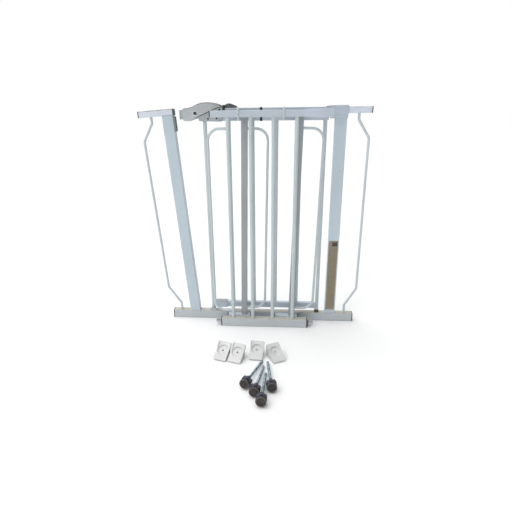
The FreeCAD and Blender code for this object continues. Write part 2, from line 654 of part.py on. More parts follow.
def panel_end_rod():
    x = PANEL_START + PANEL_BAR_INSET
    return end_rod(x, PANEL_Y, -1).cut(upright_cylinder(x, 0, KIT_TOP, BAR_RADIUS, PANEL_Y))


def extension_sleeve():
    half = HALF_ARM + SLEEVE_FIT
    outer = half + SLEEVE_WALL
    middle, left = KIT_TOP - HALF_ARM, PANEL_END - SLEEVE_OVERLAP
    right = left + SLEEVE_LENGTH
    sleeve = box(left, right, PANEL_Y - outer, PANEL_Y + outer, middle - outer, middle + outer)
    sleeve = eased(sleeve, 2.0, lambda e: runs_along(e, V(1, 0, 0)))
    return sleeve.cut(box(left - 1, right + 1, PANEL_Y - half, PANEL_Y + half, middle - half, middle + half))


def extension_pegs():
    """Joining pegs that stand out of the bottom rail's caps."""
    z, pegs = RAIL_HEIGHT / 2, []
    for face, sign, length in ((PANEL_START, -1, PEG_LENGTHS[0]), (PANEL_END, 1, PEG_LENGTHS[1])):
        start = face + sign * CAP_FLANGE
        tip = start + sign * length
        peg = cylinder((start, PANEL_Y, z), (tip, PANEL_Y, z), PEG_RADIUS)
        pegs.append(eased(peg, 1.5, lambda e, end=tip: abs(e.CenterOfMass.x - end) < 0.1))
    return pegs


def extension_peg_nut():
    start, z, (radius, thick) = PANEL_END + CAP_FLANGE, RAIL_HEIGHT / 2, PEG_NUT
    disc = cylinder((start, PANEL_Y, z), (start + thick, PANEL_Y, z), radius)
    return disc.cut(cylinder((start - 1, PANEL_Y, z), (start + thick + 1, PANEL_Y, z), PEG_RADIUS))


def tilt_narrow(shape, index):
    """Stand a narrow piece at its place, leaning a little, its low corner on the floor."""
    placed = shape.copy()
    placed.translate(V(NARROW_FOOT_X[index], 0, 0))
    placed.rotate(V(NARROW_FOOT_X[index], NARROW_Y, 0), V(0, 1, 0), NARROW_TILT[index])
    drop = math.sin(math.radians(NARROW_TILT[index])) * (NARROW_STUB[1] + CAP_FLANGE)
    placed.translate(V(0, 0, drop))
    return placed


def narrow_piece(index):
    """Post, the two rail stubs and the bent rod."""
    x0, x1 = NARROW_STUB
    half_post = POST_WIDTH / 2
    front, back = NARROW_Y - HALF_ARM, NARROW_Y + HALF_ARM
    post = tube_box(-half_post, half_post, front, back, RAIL_HEIGHT, KIT_TOP_LOW, "z")
    foot = tube_box(x0, x1, NARROW_Y - HALF_DEPTH, NARROW_Y + HALF_DEPTH, 0, RAIL_HEIGHT, "x")
    head = tube_box(x0, x1, front, back, KIT_TOP_LOW, KIT_TOP, "x")
    return [tilt_narrow(shape, index) for shape in (post, foot, head, end_rod(half_post, NARROW_Y, 1))]


def kit_end_caps():
    caps = [end_cap(x, sign, PANEL_Y, HALF_DEPTH, 0, RAIL_HEIGHT)
            for x, sign in ((PANEL_START, -1), (PANEL_END, 1))]
    caps.append(end_cap(PANEL_START - PANEL_TOP_OVERHANG, -1, PANEL_Y, HALF_ARM, KIT_TOP_LOW, KIT_TOP))
    for index in range(len(NARROW_FOOT_X)):
        for x, sign in zip(NARROW_STUB, (-1, 1)):
            caps.append(tilt_narrow(end_cap(x, sign, NARROW_Y, HALF_DEPTH, 0, RAIL_HEIGHT), index))
            caps.append(tilt_narrow(end_cap(x, sign, NARROW_Y, HALF_ARM, KIT_TOP_LOW, KIT_TOP), index))
    return caps


def cable_tie(x):
    """Loop round the panel's top rail and a narrow piece's top stub, its head at the top front."""
    front, back = PANEL_Y - HALF_ARM - TIE_SEAT, NARROW_Y + HALF_ARM + TIE_SEAT
    low, high = KIT_TOP_LOW - TIE_SLACK[0], KIT_TOP + TIE_SLACK[1]
    half = TIE_WIDTH / 2

    def loop(grow, side):
        block = box(x - side, x + side, front - grow, back + grow, low - grow, high + grow)
        return eased(block, TIE_CORNER + grow, lambda e: runs_along(e, V(1, 0, 0)))

    strap = loop(TIE_THICK, half).cut(loop(0.0, half + 1))
    width, depth, height = TIE_HEAD
    face, seat = front - 3.4, high - 0.5
    head = box(x - width / 2, x + width / 2, face, face + depth, seat, seat + height)
    tail = box(x - half, x + half, front - 2.7, front - TIE_THICK - 0.1, low - TIE_TAIL, high + 0.5)
    return joined(strap, head, tail).cut(loop(0.0, width))


# --- loose hardware ---

def wall_cup(place):
    """Cup plate lying face up, propped at its far end by a side web and a rear leg."""
    x, y, angle = place
    tilt = math.radians(CUP_TILT)
    half, middle = CUP_WIDTH / 2, CUP_LENGTH * CUP_SOCKET_PLACE
    body = box(-half, half, 0, CUP_LENGTH, 0, CUP_THICK)
    body = eased(body, 4.0, lambda e: runs_along(e, V(0, 0, 1)))
    body = eased(body, 1.0, lambda e: e.CenterOfMass.z > CUP_THICK - 0.01)
    socket_floor = CUP_THICK - CUP_SOCKET_DEPTH
    body = body.cut(upright_cylinder(0, socket_floor, CUP_THICK + 1, CUP_SOCKET / 2, middle))
    body = body.cut(upright_cylinder(0, -1, CUP_THICK, CUP_HOLE / 2, middle))
    body.rotate(V(0, 0, 0), V(1, 0, 0), CUP_TILT)
    far_y, far_z = CUP_LENGTH * math.cos(tilt), CUP_LENGTH * math.sin(tilt)
    side = ((8, 0), (far_y - 4, 0), (far_y - 4, far_z + 8), (far_y - 16, far_z + 4), (8, 5), (8, 0))
    web = Part.Face(Part.makePolygon([V(-half, py, pz) for py, pz in side])).extrude(V(CUP_WEB, 0, 0))
    leg = box(-half, half - 6, far_y - 4 - CUP_WEB, far_y - 4, 0, far_z - 1)
    cup = joined(body, web, leg)
    cup.rotate(V(0, 0, 0), V(0, 0, 1), angle)
    cup.translate(V(x, y, 0))
    return cup


def spindle_frame(place):
    """Start point on the foot's face and unit direction to the tip, which lies on the floor."""
    (fx, fy), (tx, ty) = place
    nut_end = FOOT_THICK + NUT_GAP + NUT_THICK
    slope = math.asin((NUT_DIAMETER - SPINDLE_DIAMETER) / 2 / (SPINDLE_LENGTH - nut_end))
    flat = V(tx - fx, ty - fy, 0).normalize()
    direction = V(flat.x * math.cos(slope), flat.y * math.cos(slope), -math.sin(slope))
    height = SPINDLE_DIAMETER / 2 + FLOOR_GAP + SPINDLE_LENGTH * math.sin(slope)
    return V(fx, fy, height), direction


def lay_spindle(shape, place):
    """Move a shape drawn along +Z from the origin to its spindle's place."""
    start, direction = spindle_frame(place)
    turned = shape.copy()
    turned.Placement = FreeCAD.Placement(start, FreeCAD.Rotation(V(0, 0, 1), direction))
    return turned


def disc(radius, low, thick):
    return Part.makeCylinder(radius, thick, V(0, 0, low))


def spindle_rod(place):
    start = FOOT_THICK - FOOT_GRIP
    rod = disc(SPINDLE_DIAMETER / 2, start, SPINDLE_LENGTH - start)
    return lay_spindle(rod.makeChamfer(0.8, [max(rod.Edges, key=lambda e: e.CenterOfMass.z)]), place)


def spindle_foot(place):
    radius, step_low = FOOT_DIAMETER / 2, FOOT_THICK - FOOT_STEP
    foot = joined(disc(radius, 0, step_low), disc(radius - FOOT_STEP, step_low, FOOT_STEP))
    foot = foot.makeFillet(1.2, [min(foot.Edges, key=lambda e: e.CenterOfMass.z)])
    return lay_spindle(foot.cut(disc(SPINDLE_DIAMETER / 2, FOOT_THICK - FOOT_GRIP, FOOT_THICK)), place)


def spindle_nut(place):
    low, radius = FOOT_THICK + NUT_GAP, NUT_DIAMETER / 2
    nut = disc(radius, low, NUT_THICK)
    for i in range(NUT_LOBES):
        turn = 2 * math.pi * i / NUT_LOBES
        scallop = disc(LOBE_CUT, low - 1, NUT_THICK + 2)
        scallop.translate(V(math.cos(turn), math.sin(turn), 0) * (radius + LOBE_CUT_OUT))
        nut = nut.cut(scallop)
    return lay_spindle(nut.cut(disc(SPINDLE_DIAMETER / 2 + PIN_CLEARANCE, low - 1, NUT_THICK + 2)), place)


# --- every node, by name ---

def frame_parts():
    return {
        "frame_bottom_rail": tube_box(-RAIL_END, RAIL_END, -HALF_DEPTH, HALF_DEPTH, 0, RAIL_HEIGHT, "x"),
        "left_upright": upright(True), "right_upright": upright(False),
        "left_top_arm": top_arm(True), "right_top_arm": top_arm(False),
        "left_side_rod": side_rod(True), "right_side_rod": side_rod(False),
        "frame_end_caps": frame_end_caps(), "left_arm_inner_cap": arm_inner_cap(),
        "latch_keeper": latch_keeper(), "lower_catch": lower_catch(), "frame_label": frame_label(),
        "hinge_bracket": hinge_bracket(), "hinge_washer": hinge_washer(),
        "top_hinge_pin": top_hinge_pin(), "bottom_hinge_pin": bottom_hinge_pin(),
    }


def door_parts():
    guide_bore, bearing_bore = LIFT_ROD_DIAMETER / 2 + PIN_CLEARANCE, PIN_RADIUS + PIN_CLEARANCE
    return {
        "door_top_rail": drill_rivets(door_rail()), "door_rail_plug": rail_end_plug(),
        "door_rail_band": rail_band(), "door_bars": door_bars(),
        "door_latch_stile": bar_tube(STILE_X, 0, STILE_BOTTOM, DOOR_TOP + STILE_TOP),
        "door_hinge_stile": bar_tube(HINGE_X, 0, STILE_BOTTOM, DOOR_RAIL_BOTTOM),
        "door_bottom_rail": door_sill(), "door_stop_sleeve": sill_sleeve(),
        "lift_rod_guide": stile_bush(STILE_X, STILE_BOTTOM - 4.0, GUIDE_LENGTH, guide_bore),
        "hinge_bush": stile_bush(HINGE_X, RAIL_HEIGHT + FOOT_WASHER_THICK + SWING_CLEARANCE, BEARING_LENGTH,
                                 bearing_bore),
        "latch_base": latch_base(), "latch_rivets": latch_rivets(), "latch_collar": latch_collar(),
        "lever_screw": lever_screw(), "lever_washers": lever_washers(),
        "latch_lever": latch_lever(), "latch_jaw": latch_jaw(), "lift_rod": lift_rod(),
        "safety_slider": safety_slider(), "slider_spring": slider_spring(), "spring_stop": spring_stop(),
    }


def kit_parts():
    parts = {
        "wide_extension_bottom_rail": panel_rail(), "wide_extension_top_rail": panel_top_rail(),
        "wide_extension_bars": panel_bars(), "wide_extension_end_rod": panel_end_rod(),
        "extension_sleeve": extension_sleeve(), "extension_pegs": extension_pegs(),
        "extension_peg_nut": extension_peg_nut(), "extension_end_caps": kit_end_caps(),
        "cable_ties": [cable_tie(x) for x in TIE_X],
    }
    for index in range(len(NARROW_FOOT_X)):
        name = f"narrow_extension_{index + 1}"
        post, foot, head, rod = narrow_piece(index)
        parts.update({name + "_post": post, name + "_rails": [foot, head], name + "_rod": rod})
    return parts


def loose_parts():
    parts = {
        "wall_cups": [wall_cup(place) for place in CUP_PLACES],
        "spindle_rods": [spindle_rod(place) for place in SPINDLE_PLACES],
        "spindle_feet": [spindle_foot(place) for place in SPINDLE_PLACES],
    }
    for index, place in enumerate(SPINDLE_PLACES):
        parts[f"thumb_nut_{index + 1}"] = spindle_nut(place)
    return parts


def save():
    os.makedirs("parts", exist_ok=True)
    for group in (frame_parts(), door_parts(), kit_parts(), loose_parts()):
        for name, piece in group.items():
            shape = Part.Compound(piece) if isinstance(piece, list) else piece
            shape.exportStep(os.path.join("parts", name + ".step"))
            print(name, len(shape.Solids), "valid" if shape.isValid() else "NOT VALID", round(shape.Volume))


save()
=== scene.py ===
"""Looks of the walk-through pet gate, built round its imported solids.

Pieces are drawn in millimetres, +Z up, and finished() turns them into metres.
"""
import bpy
import bmesh
import json
import math
from mathutils import Matrix, Vector


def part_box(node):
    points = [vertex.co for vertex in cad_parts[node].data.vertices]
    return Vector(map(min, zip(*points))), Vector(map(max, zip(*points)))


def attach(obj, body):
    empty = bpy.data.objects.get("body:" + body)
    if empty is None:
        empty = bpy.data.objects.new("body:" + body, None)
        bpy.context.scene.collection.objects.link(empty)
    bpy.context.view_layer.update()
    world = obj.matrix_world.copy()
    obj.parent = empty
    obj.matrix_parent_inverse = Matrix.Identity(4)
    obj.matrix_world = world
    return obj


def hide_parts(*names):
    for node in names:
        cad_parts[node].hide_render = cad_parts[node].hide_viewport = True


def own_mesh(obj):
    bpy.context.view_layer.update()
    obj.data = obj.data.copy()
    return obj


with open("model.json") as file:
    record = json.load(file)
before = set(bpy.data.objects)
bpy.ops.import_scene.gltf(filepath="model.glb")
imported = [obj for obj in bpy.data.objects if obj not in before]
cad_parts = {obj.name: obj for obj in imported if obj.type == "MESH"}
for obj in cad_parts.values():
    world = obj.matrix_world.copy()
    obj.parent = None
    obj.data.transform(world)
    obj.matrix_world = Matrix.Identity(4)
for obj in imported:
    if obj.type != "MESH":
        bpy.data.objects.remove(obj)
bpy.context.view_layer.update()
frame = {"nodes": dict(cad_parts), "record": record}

# --- tubes, rods and welds ---
TUBE_WALL = 1.5
TUBE_CORNER = 2.8            # outer corner radius of the rectangular tubes
BAR_WALL = 1.2
ROD_RADIUS = 4.25
CAP_FLANGE = 3.5
CAP_PLUG = 14.0
CAP_FIT = 0.2
SLIP = 0.05                  # play between pieces that fit into each other
BEAD = 1.15                  # radius of a weld bead
BEAD_WANDER = 0.9
SOCKET_RADIUS = 4.3          # spindle socket in a frame end cap

# --- frame ---
SIDE_ROD_BEND = 12.0
SIDE_ROD_TOP_INSET = 25.0
SIDE_ROD_OUT = 11.0
SIDE_ROD_FOOT_INSET = 29.0
SIDE_ROD_DROP = 20.0
SIDE_ROD_SHOULDER = 96.0
SIDE_ROD_HIP = 99.0
SIDE_ROD_ANKLE = 30.0
LEAN_SPARE = 14.0            # extra length below the rail's top, trimmed after the lean
KEEPER_BACK = 1.5
KEEPER_LIP = 3.0
KEEPER_LIP_WIDTH = 2.5
KEEPER_LENGTH = 50.0
BRACKET_LENGTH = 55.5
BRACKET_STEP = 10.0
VISOR_REACH = 29.0           # how far the visor runs past the upright
TONGUE_HALF = 4.0            # half thickness of the hinge tongue
TONGUE_WIDTH = 12.0
HINGE_PIN_RADIUS = 4.0
SWING_CLEARANCE = 0.4

# --- latch, from the latch stile's axis and the door rail's top ---
PIVOT = (-28.0, -16.0)
PIVOT_RADIUS = 3.0
SPLIT_START = (-23.0, -28.5)
SPLIT_END = (48.0, 0.5)
SPLIT_GAP = 1.3
LATCH_WALL = 2.4
LEVER_BACK = ((-69.0, -1.0), (-54.0, 0.0), (-35.0, 5.0), (-21.0, 12.5), (1.0, 17.0), (22.0, 17.0),
              (48.0, 13.0), (61.0, 6.5))
RIVETS = ((52.5, -6.0), (42.0, -32.0), (14.0, -33.0))
RIVET_RADIUS = 3.0
RIVET_RISE = 0.9
SLIDER_SLOT_INSET = 6.0
SLIDER_TRAVEL = 8.0
SLIDER_NECK_HALF = 3.0
SPRING_WIRE = 0.7
LIFT_ROD_RADIUS = 2.5
ROD_HEAD = 3.0               # thickness of the lift rod's head

# --- extension kit ---
END_ROD_REACH = 66.0
END_ROD_BEND = 38.0
END_ROD_DROP = 54.0
END_ROD_RISE = 30.0
NARROW_FOOT_X = (-65.0, 111.0)
NARROW_TILT = (1.0, 1.25)
NARROW_STUB = (-60.0, 22.0)
TIE_X = (-69.0, 73.0)
TIE_WIDTH = 4.6
TIE_THICK = 1.3

# --- loose hardware ---
CUP = (44.0, 66.0, 7.0)      # width, length, thickness
CUP_SOCKET_RADIUS = 17.0
CUP_SOCKET_DEPTH = 4.5
CUP_SOCKET_PLACE = 0.55
CUP_HOLE_RADIUS = 2.2
CUP_TILT = 31.0
CUP_WEB = 2.6
CUP_PLACES = ((-121.0, -294.0, -16.0), (-73.0, -303.0, -16.0), (-6.0, -286.0, -5.0), (70.0, -292.0, 27.0))
SPINDLE_LENGTH = 145.0
SPINDLE_RADIUS = 4.0
THREAD_PITCH = 1.25
FOOT_RADIUS = 15.0
FOOT_THICK = 10.0
FOOT_STEP = 3.0
FOOT_GRIP = 4.0
NUT_RADIUS = 16.0
NUT_THICK = 14.0
NUT_GAP = 1.0
NUT_LOBES = 6
LOBE_CUT = 5.5
LOBE_CUT_OUT = 3.0
FLOOR_GAP = 0.3
SPINDLE_PLACES = (((-29.0, -430.0), (14.0, -300.0)), ((1.0, -463.0), (23.0, -310.0)),
                  ((22.0, -500.0), (30.0, -345.0)), ((50.0, -441.0), (33.0, -300.0)))

MERGE = 0.001                # corners nearer than this are one
SHARP = math.radians(38)     # faces that meet at more than this keep their edge
CORNER_STEPS = 5


# --- places read from the solids ---

def box_of(node):
    """Lowest and highest corners of a node, in millimetres."""
    low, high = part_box(node)
    return low * 1000, high * 1000


def middle_of(node):
    low, high = box_of(node)
    return (low + high) / 2


RAIL_HIGH = box_of("frame_bottom_rail")[1]
UPRIGHT_LOW, UPRIGHT_HIGH = box_of("right_upright")
ARM_LOW, ARM_HIGH = box_of("right_top_arm")
DOOR_RAIL_LOW, DOOR_RAIL_HIGH = box_of("door_top_rail")
SILL_LOW, SILL_HIGH = box_of("door_bottom_rail")
HALF_DEPTH = RAIL_HIGH.y
LATCH_HALF = box_of("latch_base")[1].y
STILE_X = middle_of("door_latch_stile").x
HINGE_X = middle_of("door_hinge_stile").x
BAR_RADIUS = box_of("door_latch_stile")[1].y
AT_LATCH = Matrix.Translation((STILE_X, 0, DOOR_RAIL_HIGH.z))
PANEL_LOW, PANEL_HIGH = box_of("wide_extension_bottom_rail")
PANEL_TOP_LOW, PANEL_TOP_HIGH = box_of("wide_extension_top_rail")
PANEL_Y = (PANEL_LOW.y + PANEL_HIGH.y) / 2
NARROW_Y = middle_of("narrow_extension_1_post").y
KIT_TOP = PANEL_TOP_HIGH.z
KIT_TOP_LOW = PANEL_TOP_LOW.z
HALF_ARM = (KIT_TOP - KIT_TOP_LOW) / 2
END = 1000.0                 # past the whole gate, for cutting


def lean_matrix():
    """Takes the frame's right side to its leaning left side: mirrored, then turned at the rail."""
    outward = next(m["axis"] for m in frame["record"]["mounts"] if m["name"] == "socket_upper_left")
    angle = math.atan2(-outward[2], -outward[0])
    foot = Vector((-(UPRIGHT_LOW.x + UPRIGHT_HIGH.x) / 2, 0, RAIL_HIGH.z))
    turn = Matrix.Translation(foot) @ Matrix.Rotation(-angle, 4, "Y") @ Matrix.Translation(-foot)
    return turn @ Matrix.Scale(-1, 4, (1, 0, 0))


def tilt_matrix(index):
    """Stands a narrow extension, drawn upright at the origin, at its own leaning place."""
    angle = math.radians(NARROW_TILT[index])
    foot = Vector((NARROW_FOOT_X[index], NARROW_Y, 0))
    rise = math.sin(angle) * (NARROW_STUB[1] + CAP_FLANGE)
    turn = Matrix.Translation(foot) @ Matrix.Rotation(angle, 4, "Y") @ Matrix.Translation(-foot)
    return Matrix.Translation((0, 0, rise)) @ turn @ Matrix.Translation((NARROW_FOOT_X[index], 0, 0))


LEFT_SIDE = lean_matrix()


# --- finishes ---

class Graph:
    """A node tree under construction."""

    def __init__(self, tree):
        self.tree = tree

    def feed(self, target, value):
        if isinstance(value, bpy.types.NodeSocket):
            self.tree.links.new(value, target)
        else:
            target.default_value = value

    def add(self, kind, *feeds, out=0, **settings):
        """New node; feeds are (input, value or socket) pairs; returns the wanted output."""
        made = self.tree.nodes.new(kind)
        for name, value in settings.items():
            setattr(made, name, value)
        for socket, value in feeds:
            self.feed(made.inputs[socket], value)
        return made.outputs[out]

    def times(self, a, b):
        return self.add("ShaderNodeMath", (0, a), (1, b), operation="MULTIPLY")


class Finish(Graph):
    """A Principled material. Its patterns follow Object coordinates, in metres."""

    def __init__(self, name, **values):
        self.material = bpy.data.materials.new(name)
        self.material.use_nodes = True
        super().__init__(self.material.node_tree)
        self.shader = self.tree.nodes["Principled BSDF"]
        self.place = self.tree.nodes.new("ShaderNodeTexCoord").outputs
        for socket, value in values.items():
            self.shader.inputs[socket.replace("_", " ")].default_value = value

    def noise(self, scale, detail=2.0, roughness=0.5, stretch=(1.0, 1.0, 1.0)):
        place = self.add("ShaderNodeMapping", ("Vector", self.place["Object"]), ("Scale", stretch))
        return self.add("ShaderNodeTexNoise", ("Vector", place), ("Scale", scale), ("Detail", detail),
                        ("Roughness", roughness))

    def ramp(self, value, low, high, to_low=0.0, to_high=1.0):
        """Eased, clamped change from one value to another."""
        return self.add("ShaderNodeMapRange", ("Value", value), ("From Min", low), ("From Max", high),
                        ("To Min", to_low), ("To Max", to_high), interpolation_type="SMOOTHSTEP")

    def mix(self, share, a, b):
        node = self.tree.nodes.new("ShaderNodeMix")
        node.data_type = "RGBA"
        colours = [s for s in node.inputs if s.type == "RGBA"]
        self.feed(node.inputs[0], share)
        self.feed(colours[0], a)
        self.feed(colours[1], b)
        return next(s for s in node.outputs if s.type == "RGBA")

    def along(self, axis):
        return self.add("ShaderNodeSeparateXYZ", ("Vector", self.place["Object"]), out=axis)

    def facing_up(self):
        return self.add("ShaderNodeSeparateXYZ", ("Vector", self.place["Normal"]), out="Z")

    def colour(self, value):
        self.feed(self.shader.inputs["Base Color"], value)

    def rough(self, low, high, scale=120.0):
        self.feed(self.shader.inputs["Roughness"], self.ramp(self.noise(scale, 3.0), 0.3, 0.7, low, high))

    def bump(self, height, depth, under=None):
        feeds = [("Height", height), ("Distance", depth), ("Strength", 1.0)]
        if under:
            feeds.append(("Normal", under))
        normal = self.add("ShaderNodeBump", *feeds)
        self.feed(self.shader.inputs["Normal"], normal)
        return normal


def rgb(red, green, blue):
    return (red, green, blue, 1.0)


def shade(colour, factor):
    return rgb(*[min(1.0, channel * factor) for channel in colour[:3]])


# Dark brown-grey for upward faces: settled dust, and painted shade along the arms' and the lever's upper
# edges.
DUST_AND_TOP_SHADE = rgb(0.130, 0.104, 0.086)
BARE_STEEL = rgb(0.16, 0.15, 0.15)


def powder_coat(name, base, dust_and_top_shade=0.0, dust_and_shade_from=0.25, soil_and_shade=DUST_AND_TOP_SHADE):
    """Satin powder coat: orange peel, slow changes of tone, a darker tone on upward faces (settled dust, and
    on the arms a painted dark shade along the upper rounded edges), scuffs and small chips.
    """
    coat = Finish(name, IOR=1.5)
    tone = coat.mix(coat.ramp(coat.noise(5.0, 3.0), 0.35, 0.68), base, shade(base, 0.93))
    # Upward faces darkened: dust settling on top, and painted shade where it reaches the arms' upper rounded
    # edges.
    upward = coat.ramp(coat.facing_up(), dust_and_shade_from, dust_and_shade_from + 0.35)
    patchy = coat.ramp(coat.noise(55.0, 4.0), 0.3, 0.7, 0.45, 1.0)
    tone = coat.mix(coat.times(coat.times(upward, patchy), dust_and_top_shade), tone, soil_and_shade)
    scuff = coat.ramp(coat.noise(34.0, 6.0, 0.72, (1.0, 1.0, 0.18)), 0.70, 0.76)
    tone = coat.mix(coat.times(scuff, 0.2), tone, shade(base, 0.6))
    cells = coat.add("ShaderNodeTexVoronoi", ("Vector", coat.place["Object"]), ("Scale", 17.0))
    chip = coat.ramp(cells, 0.032, 0.022)
    coat.colour(coat.mix(coat.times(chip, 0.6), tone, BARE_STEEL))
    coat.rough(0.34, 0.46)
    peel = coat.bump(coat.noise(650.0), 0.0001)
    coat.bump(coat.times(chip, -1.0), 0.00015, peel)
    return coat.material


def moulded(name, base, gloss, grime_and_top_shade=0.0, grime_and_shade_from=0.2, painted_shade_left=None):
    """Moulded plastic: spark-eroded grain, uneven gloss, rubbed streaks, and a darker tone on upward faces
    that is grime and, on the lever, a painted dark shade line along its top edge.

    The last argument names two places along X: left of the first the tone is darkened as painted shade,
    right of the second it is plain.
    """
    plastic = Finish(name, IOR=1.47)
    tone = plastic.mix(plastic.ramp(plastic.noise(14.0, 4.0), 0.35, 0.7), base, shade(base, 0.9))
    # Upward faces darkened: grime, and on the lever a painted shade line along its top edge.
    if grime_and_top_shade:
        top = plastic.ramp(plastic.facing_up(), grime_and_shade_from, grime_and_shade_from + 0.35)
        tone = plastic.mix(plastic.times(top, grime_and_top_shade), tone, DUST_AND_TOP_SHADE)
    # Left end darkened as painted shade.
    if painted_shade_left:
        tone = plastic.mix(plastic.ramp(plastic.along("X"), *painted_shade_left), shade(base, 0.3), tone)
    rub = plastic.ramp(plastic.noise(48.0, 7.0, 0.75, (0.25, 1.0, 1.0)), 0.66, 0.74)
    plastic.colour(plastic.mix(plastic.times(rub, 0.25), tone, shade(base, 1.3)))
    plastic.rough(gloss, gloss + 0.12, 90.0)
    plastic.bump(plastic.noise(1500.0), 0.00005)
    return plastic.material


def zinc_plate():
    """Bright bluish zinc with dull patches."""
    zinc = Finish("bright_zinc", Metallic=1.0)
    dull = zinc.ramp(zinc.noise(70.0, 4.0), 0.4, 0.62)
    zinc.colour(zinc.mix(dull, rgb(0.50, 0.60, 0.66), rgb(0.32, 0.39, 0.43)))
    zinc.rough(0.24, 0.44, 240.0)
    zinc.bump(zinc.noise(900.0, 3.0), 0.00003)
    return zinc.material


def foot_rubber():
    rubber = Finish("foot_rubber", IOR=1.5)
    bloom = rubber.ramp(rubber.noise(60.0, 5.0), 0.38, 0.66)
    rubber.colour(rubber.mix(bloom, rgb(0.036, 0.031, 0.030), rgb(0.050, 0.043, 0.041)))
    rubber.rough(0.50, 0.72, 160.0)
    rubber.bump(rubber.noise(800.0, 3.0), 0.00012)
    return rubber.material


def clear_nylon():
    nylon = Finish("clear_nylon", IOR=1.53, Transmission_Weight=0.35)
    cloud = nylon.ramp(nylon.noise(300.0), 0.3, 0.7)
    nylon.colour(nylon.mix(cloud, rgb(0.88, 0.92, 0.92), rgb(0.74, 0.80, 0.81)))
    nylon.rough(0.24, 0.34, 200.0)
    nylon.bump(nylon.noise(1400.0), 0.00004)
    return nylon.material


def band_elastic():
    """Woven elastic, ribbed across."""
    elastic = Finish("band_elastic", Roughness=0.85, Sheen_Weight=0.3)
    rib = elastic.add("ShaderNodeTexWave", ("Vector", elastic.place["Object"]), ("Scale", 300.0), out="Fac",
                      wave_type="BANDS", bands_direction="X")
    elastic.colour(elastic.mix(rib, rgb(0.020, 0.013, 0.012), rgb(0.060, 0.042, 0.038)))
    elastic.bump(rib, 0.00015)
    return elastic.material


def label_paper():
    """Blank printed sheet: plain border, a panel of fine mottled tone and a dark blank bar at its head."""
    low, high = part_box("frame_label")
    size = high - low
    paper = Finish("label_paper", IOR=1.45)
    x, z = paper.along("X"), paper.along("Z")
    edge = 0.0003

    def between(value, start, end):
        begun = paper.ramp(value, start - edge, start + edge)
        return paper.times(begun, paper.ramp(value, end + edge, end - edge))

    panel = paper.times(between(x, low.x + size.x * 0.20, high.x - size.x * 0.10),
                        between(z, low.z + size.z * 0.03, high.z - size.z * 0.12))
    bar = paper.times(between(x, low.x + size.x * 0.36, high.x - size.x * 0.06),
                      between(z, high.z - size.z * 0.075, high.z - size.z * 0.02))
    grain = paper.ramp(paper.noise(620.0, 2.0, 0.5, (1.0, 1.0, 0.4)), 0.36, 0.62)
    cloudy = paper.ramp(paper.noise(20.0, 3.0), 0.3, 0.7)
    tone = paper.mix(cloudy, rgb(0.30, 0.26, 0.175), rgb(0.26, 0.225, 0.152))
    tone = paper.mix(panel, tone, paper.mix(grain, rgb(0.19, 0.162, 0.112), rgb(0.31, 0.266, 0.188)))
    paper.colour(paper.mix(bar, tone, rgb(0.085, 0.055, 0.04)))
    paper.rough(0.5, 0.7, 80.0)
    paper.bump(paper.noise(500.0, 3.0), 0.00004)
    return paper.material


# These powder coats all stand for the gate's one white powder coat; their differing base tones are painted
# light and shade, the arms lighter as painted light and the posts darker as painted shadow.
UPRIGHT_COAT = powder_coat("upright_powder_coat", rgb(0.535, 0.630, 0.700), 0.5)
# Arms lighter than the uprights as painted light from above; their darkening of upward faces, reaching
# almost level faces, paints a dark shade line along the upper rounded edges.
LEFT_ARM_LIT_COAT = powder_coat("left_arm_powder_coat", rgb(0.70, 0.76, 0.85), 1.0, -0.02)
RIGHT_ARM_LIT_COAT = powder_coat("right_arm_powder_coat", rgb(0.67, 0.73, 0.82), 0.5, 0.05)
RAIL_COAT = powder_coat("rail_powder_coat", rgb(0.53, 0.57, 0.60), 0.8, 0.3, rgb(0.42, 0.38, 0.28))
KIT_COAT = powder_coat("kit_powder_coat", rgb(0.516, 0.580, 0.647))
# Posts darker than the other coats: painted shadow behind the panel's rails.
POST_SHADED_COAT = powder_coat("post_powder_coat", rgb(0.37, 0.395, 0.42))
BAR_COAT = powder_coat("bar_powder_coat", rgb(0.56, 0.634, 0.66), 0.2, 0.5)
# Lever darkened on upward faces from almost level: a painted dark shade line along its arched top edge, with
# some grime.
LEVER_GREY = moulded("lever_grey_shell", rgb(0.50, 0.535, 0.555), 0.36, 1.0, -0.02)
LATCH_GREY = moulded("latch_grey_shell", rgb(0.40, 0.44, 0.46), 0.36, 0.7)
# Jaw darkened at its left end as painted shade.
JAW_GREY = moulded("jaw_grey_shell", rgb(0.44, 0.47, 0.48), 0.36, 0.4, 0.2, (-0.293, -0.288))
FITTING_GREY = moulded("fitting_grey", rgb(0.53, 0.59, 0.66), 0.38, 0.5)
HOOD_GREY = moulded("hood_grey", rgb(0.49, 0.56, 0.655), 0.38, 0.3)
SLEEVE_GREY = moulded("sleeve_grey", rgb(0.53, 0.59, 0.68), 0.38)
# Keeper darker than the other grey plastic: painted shade of the upright's shadowed inner side.
KEEPER_SHADED_GREY = moulded("keeper_grey", rgb(0.24, 0.265, 0.262), 0.38, 0.5)
CAP_DARK = moulded("cap_dark", rgb(0.075, 0.060, 0.058), 0.42, 0.5)
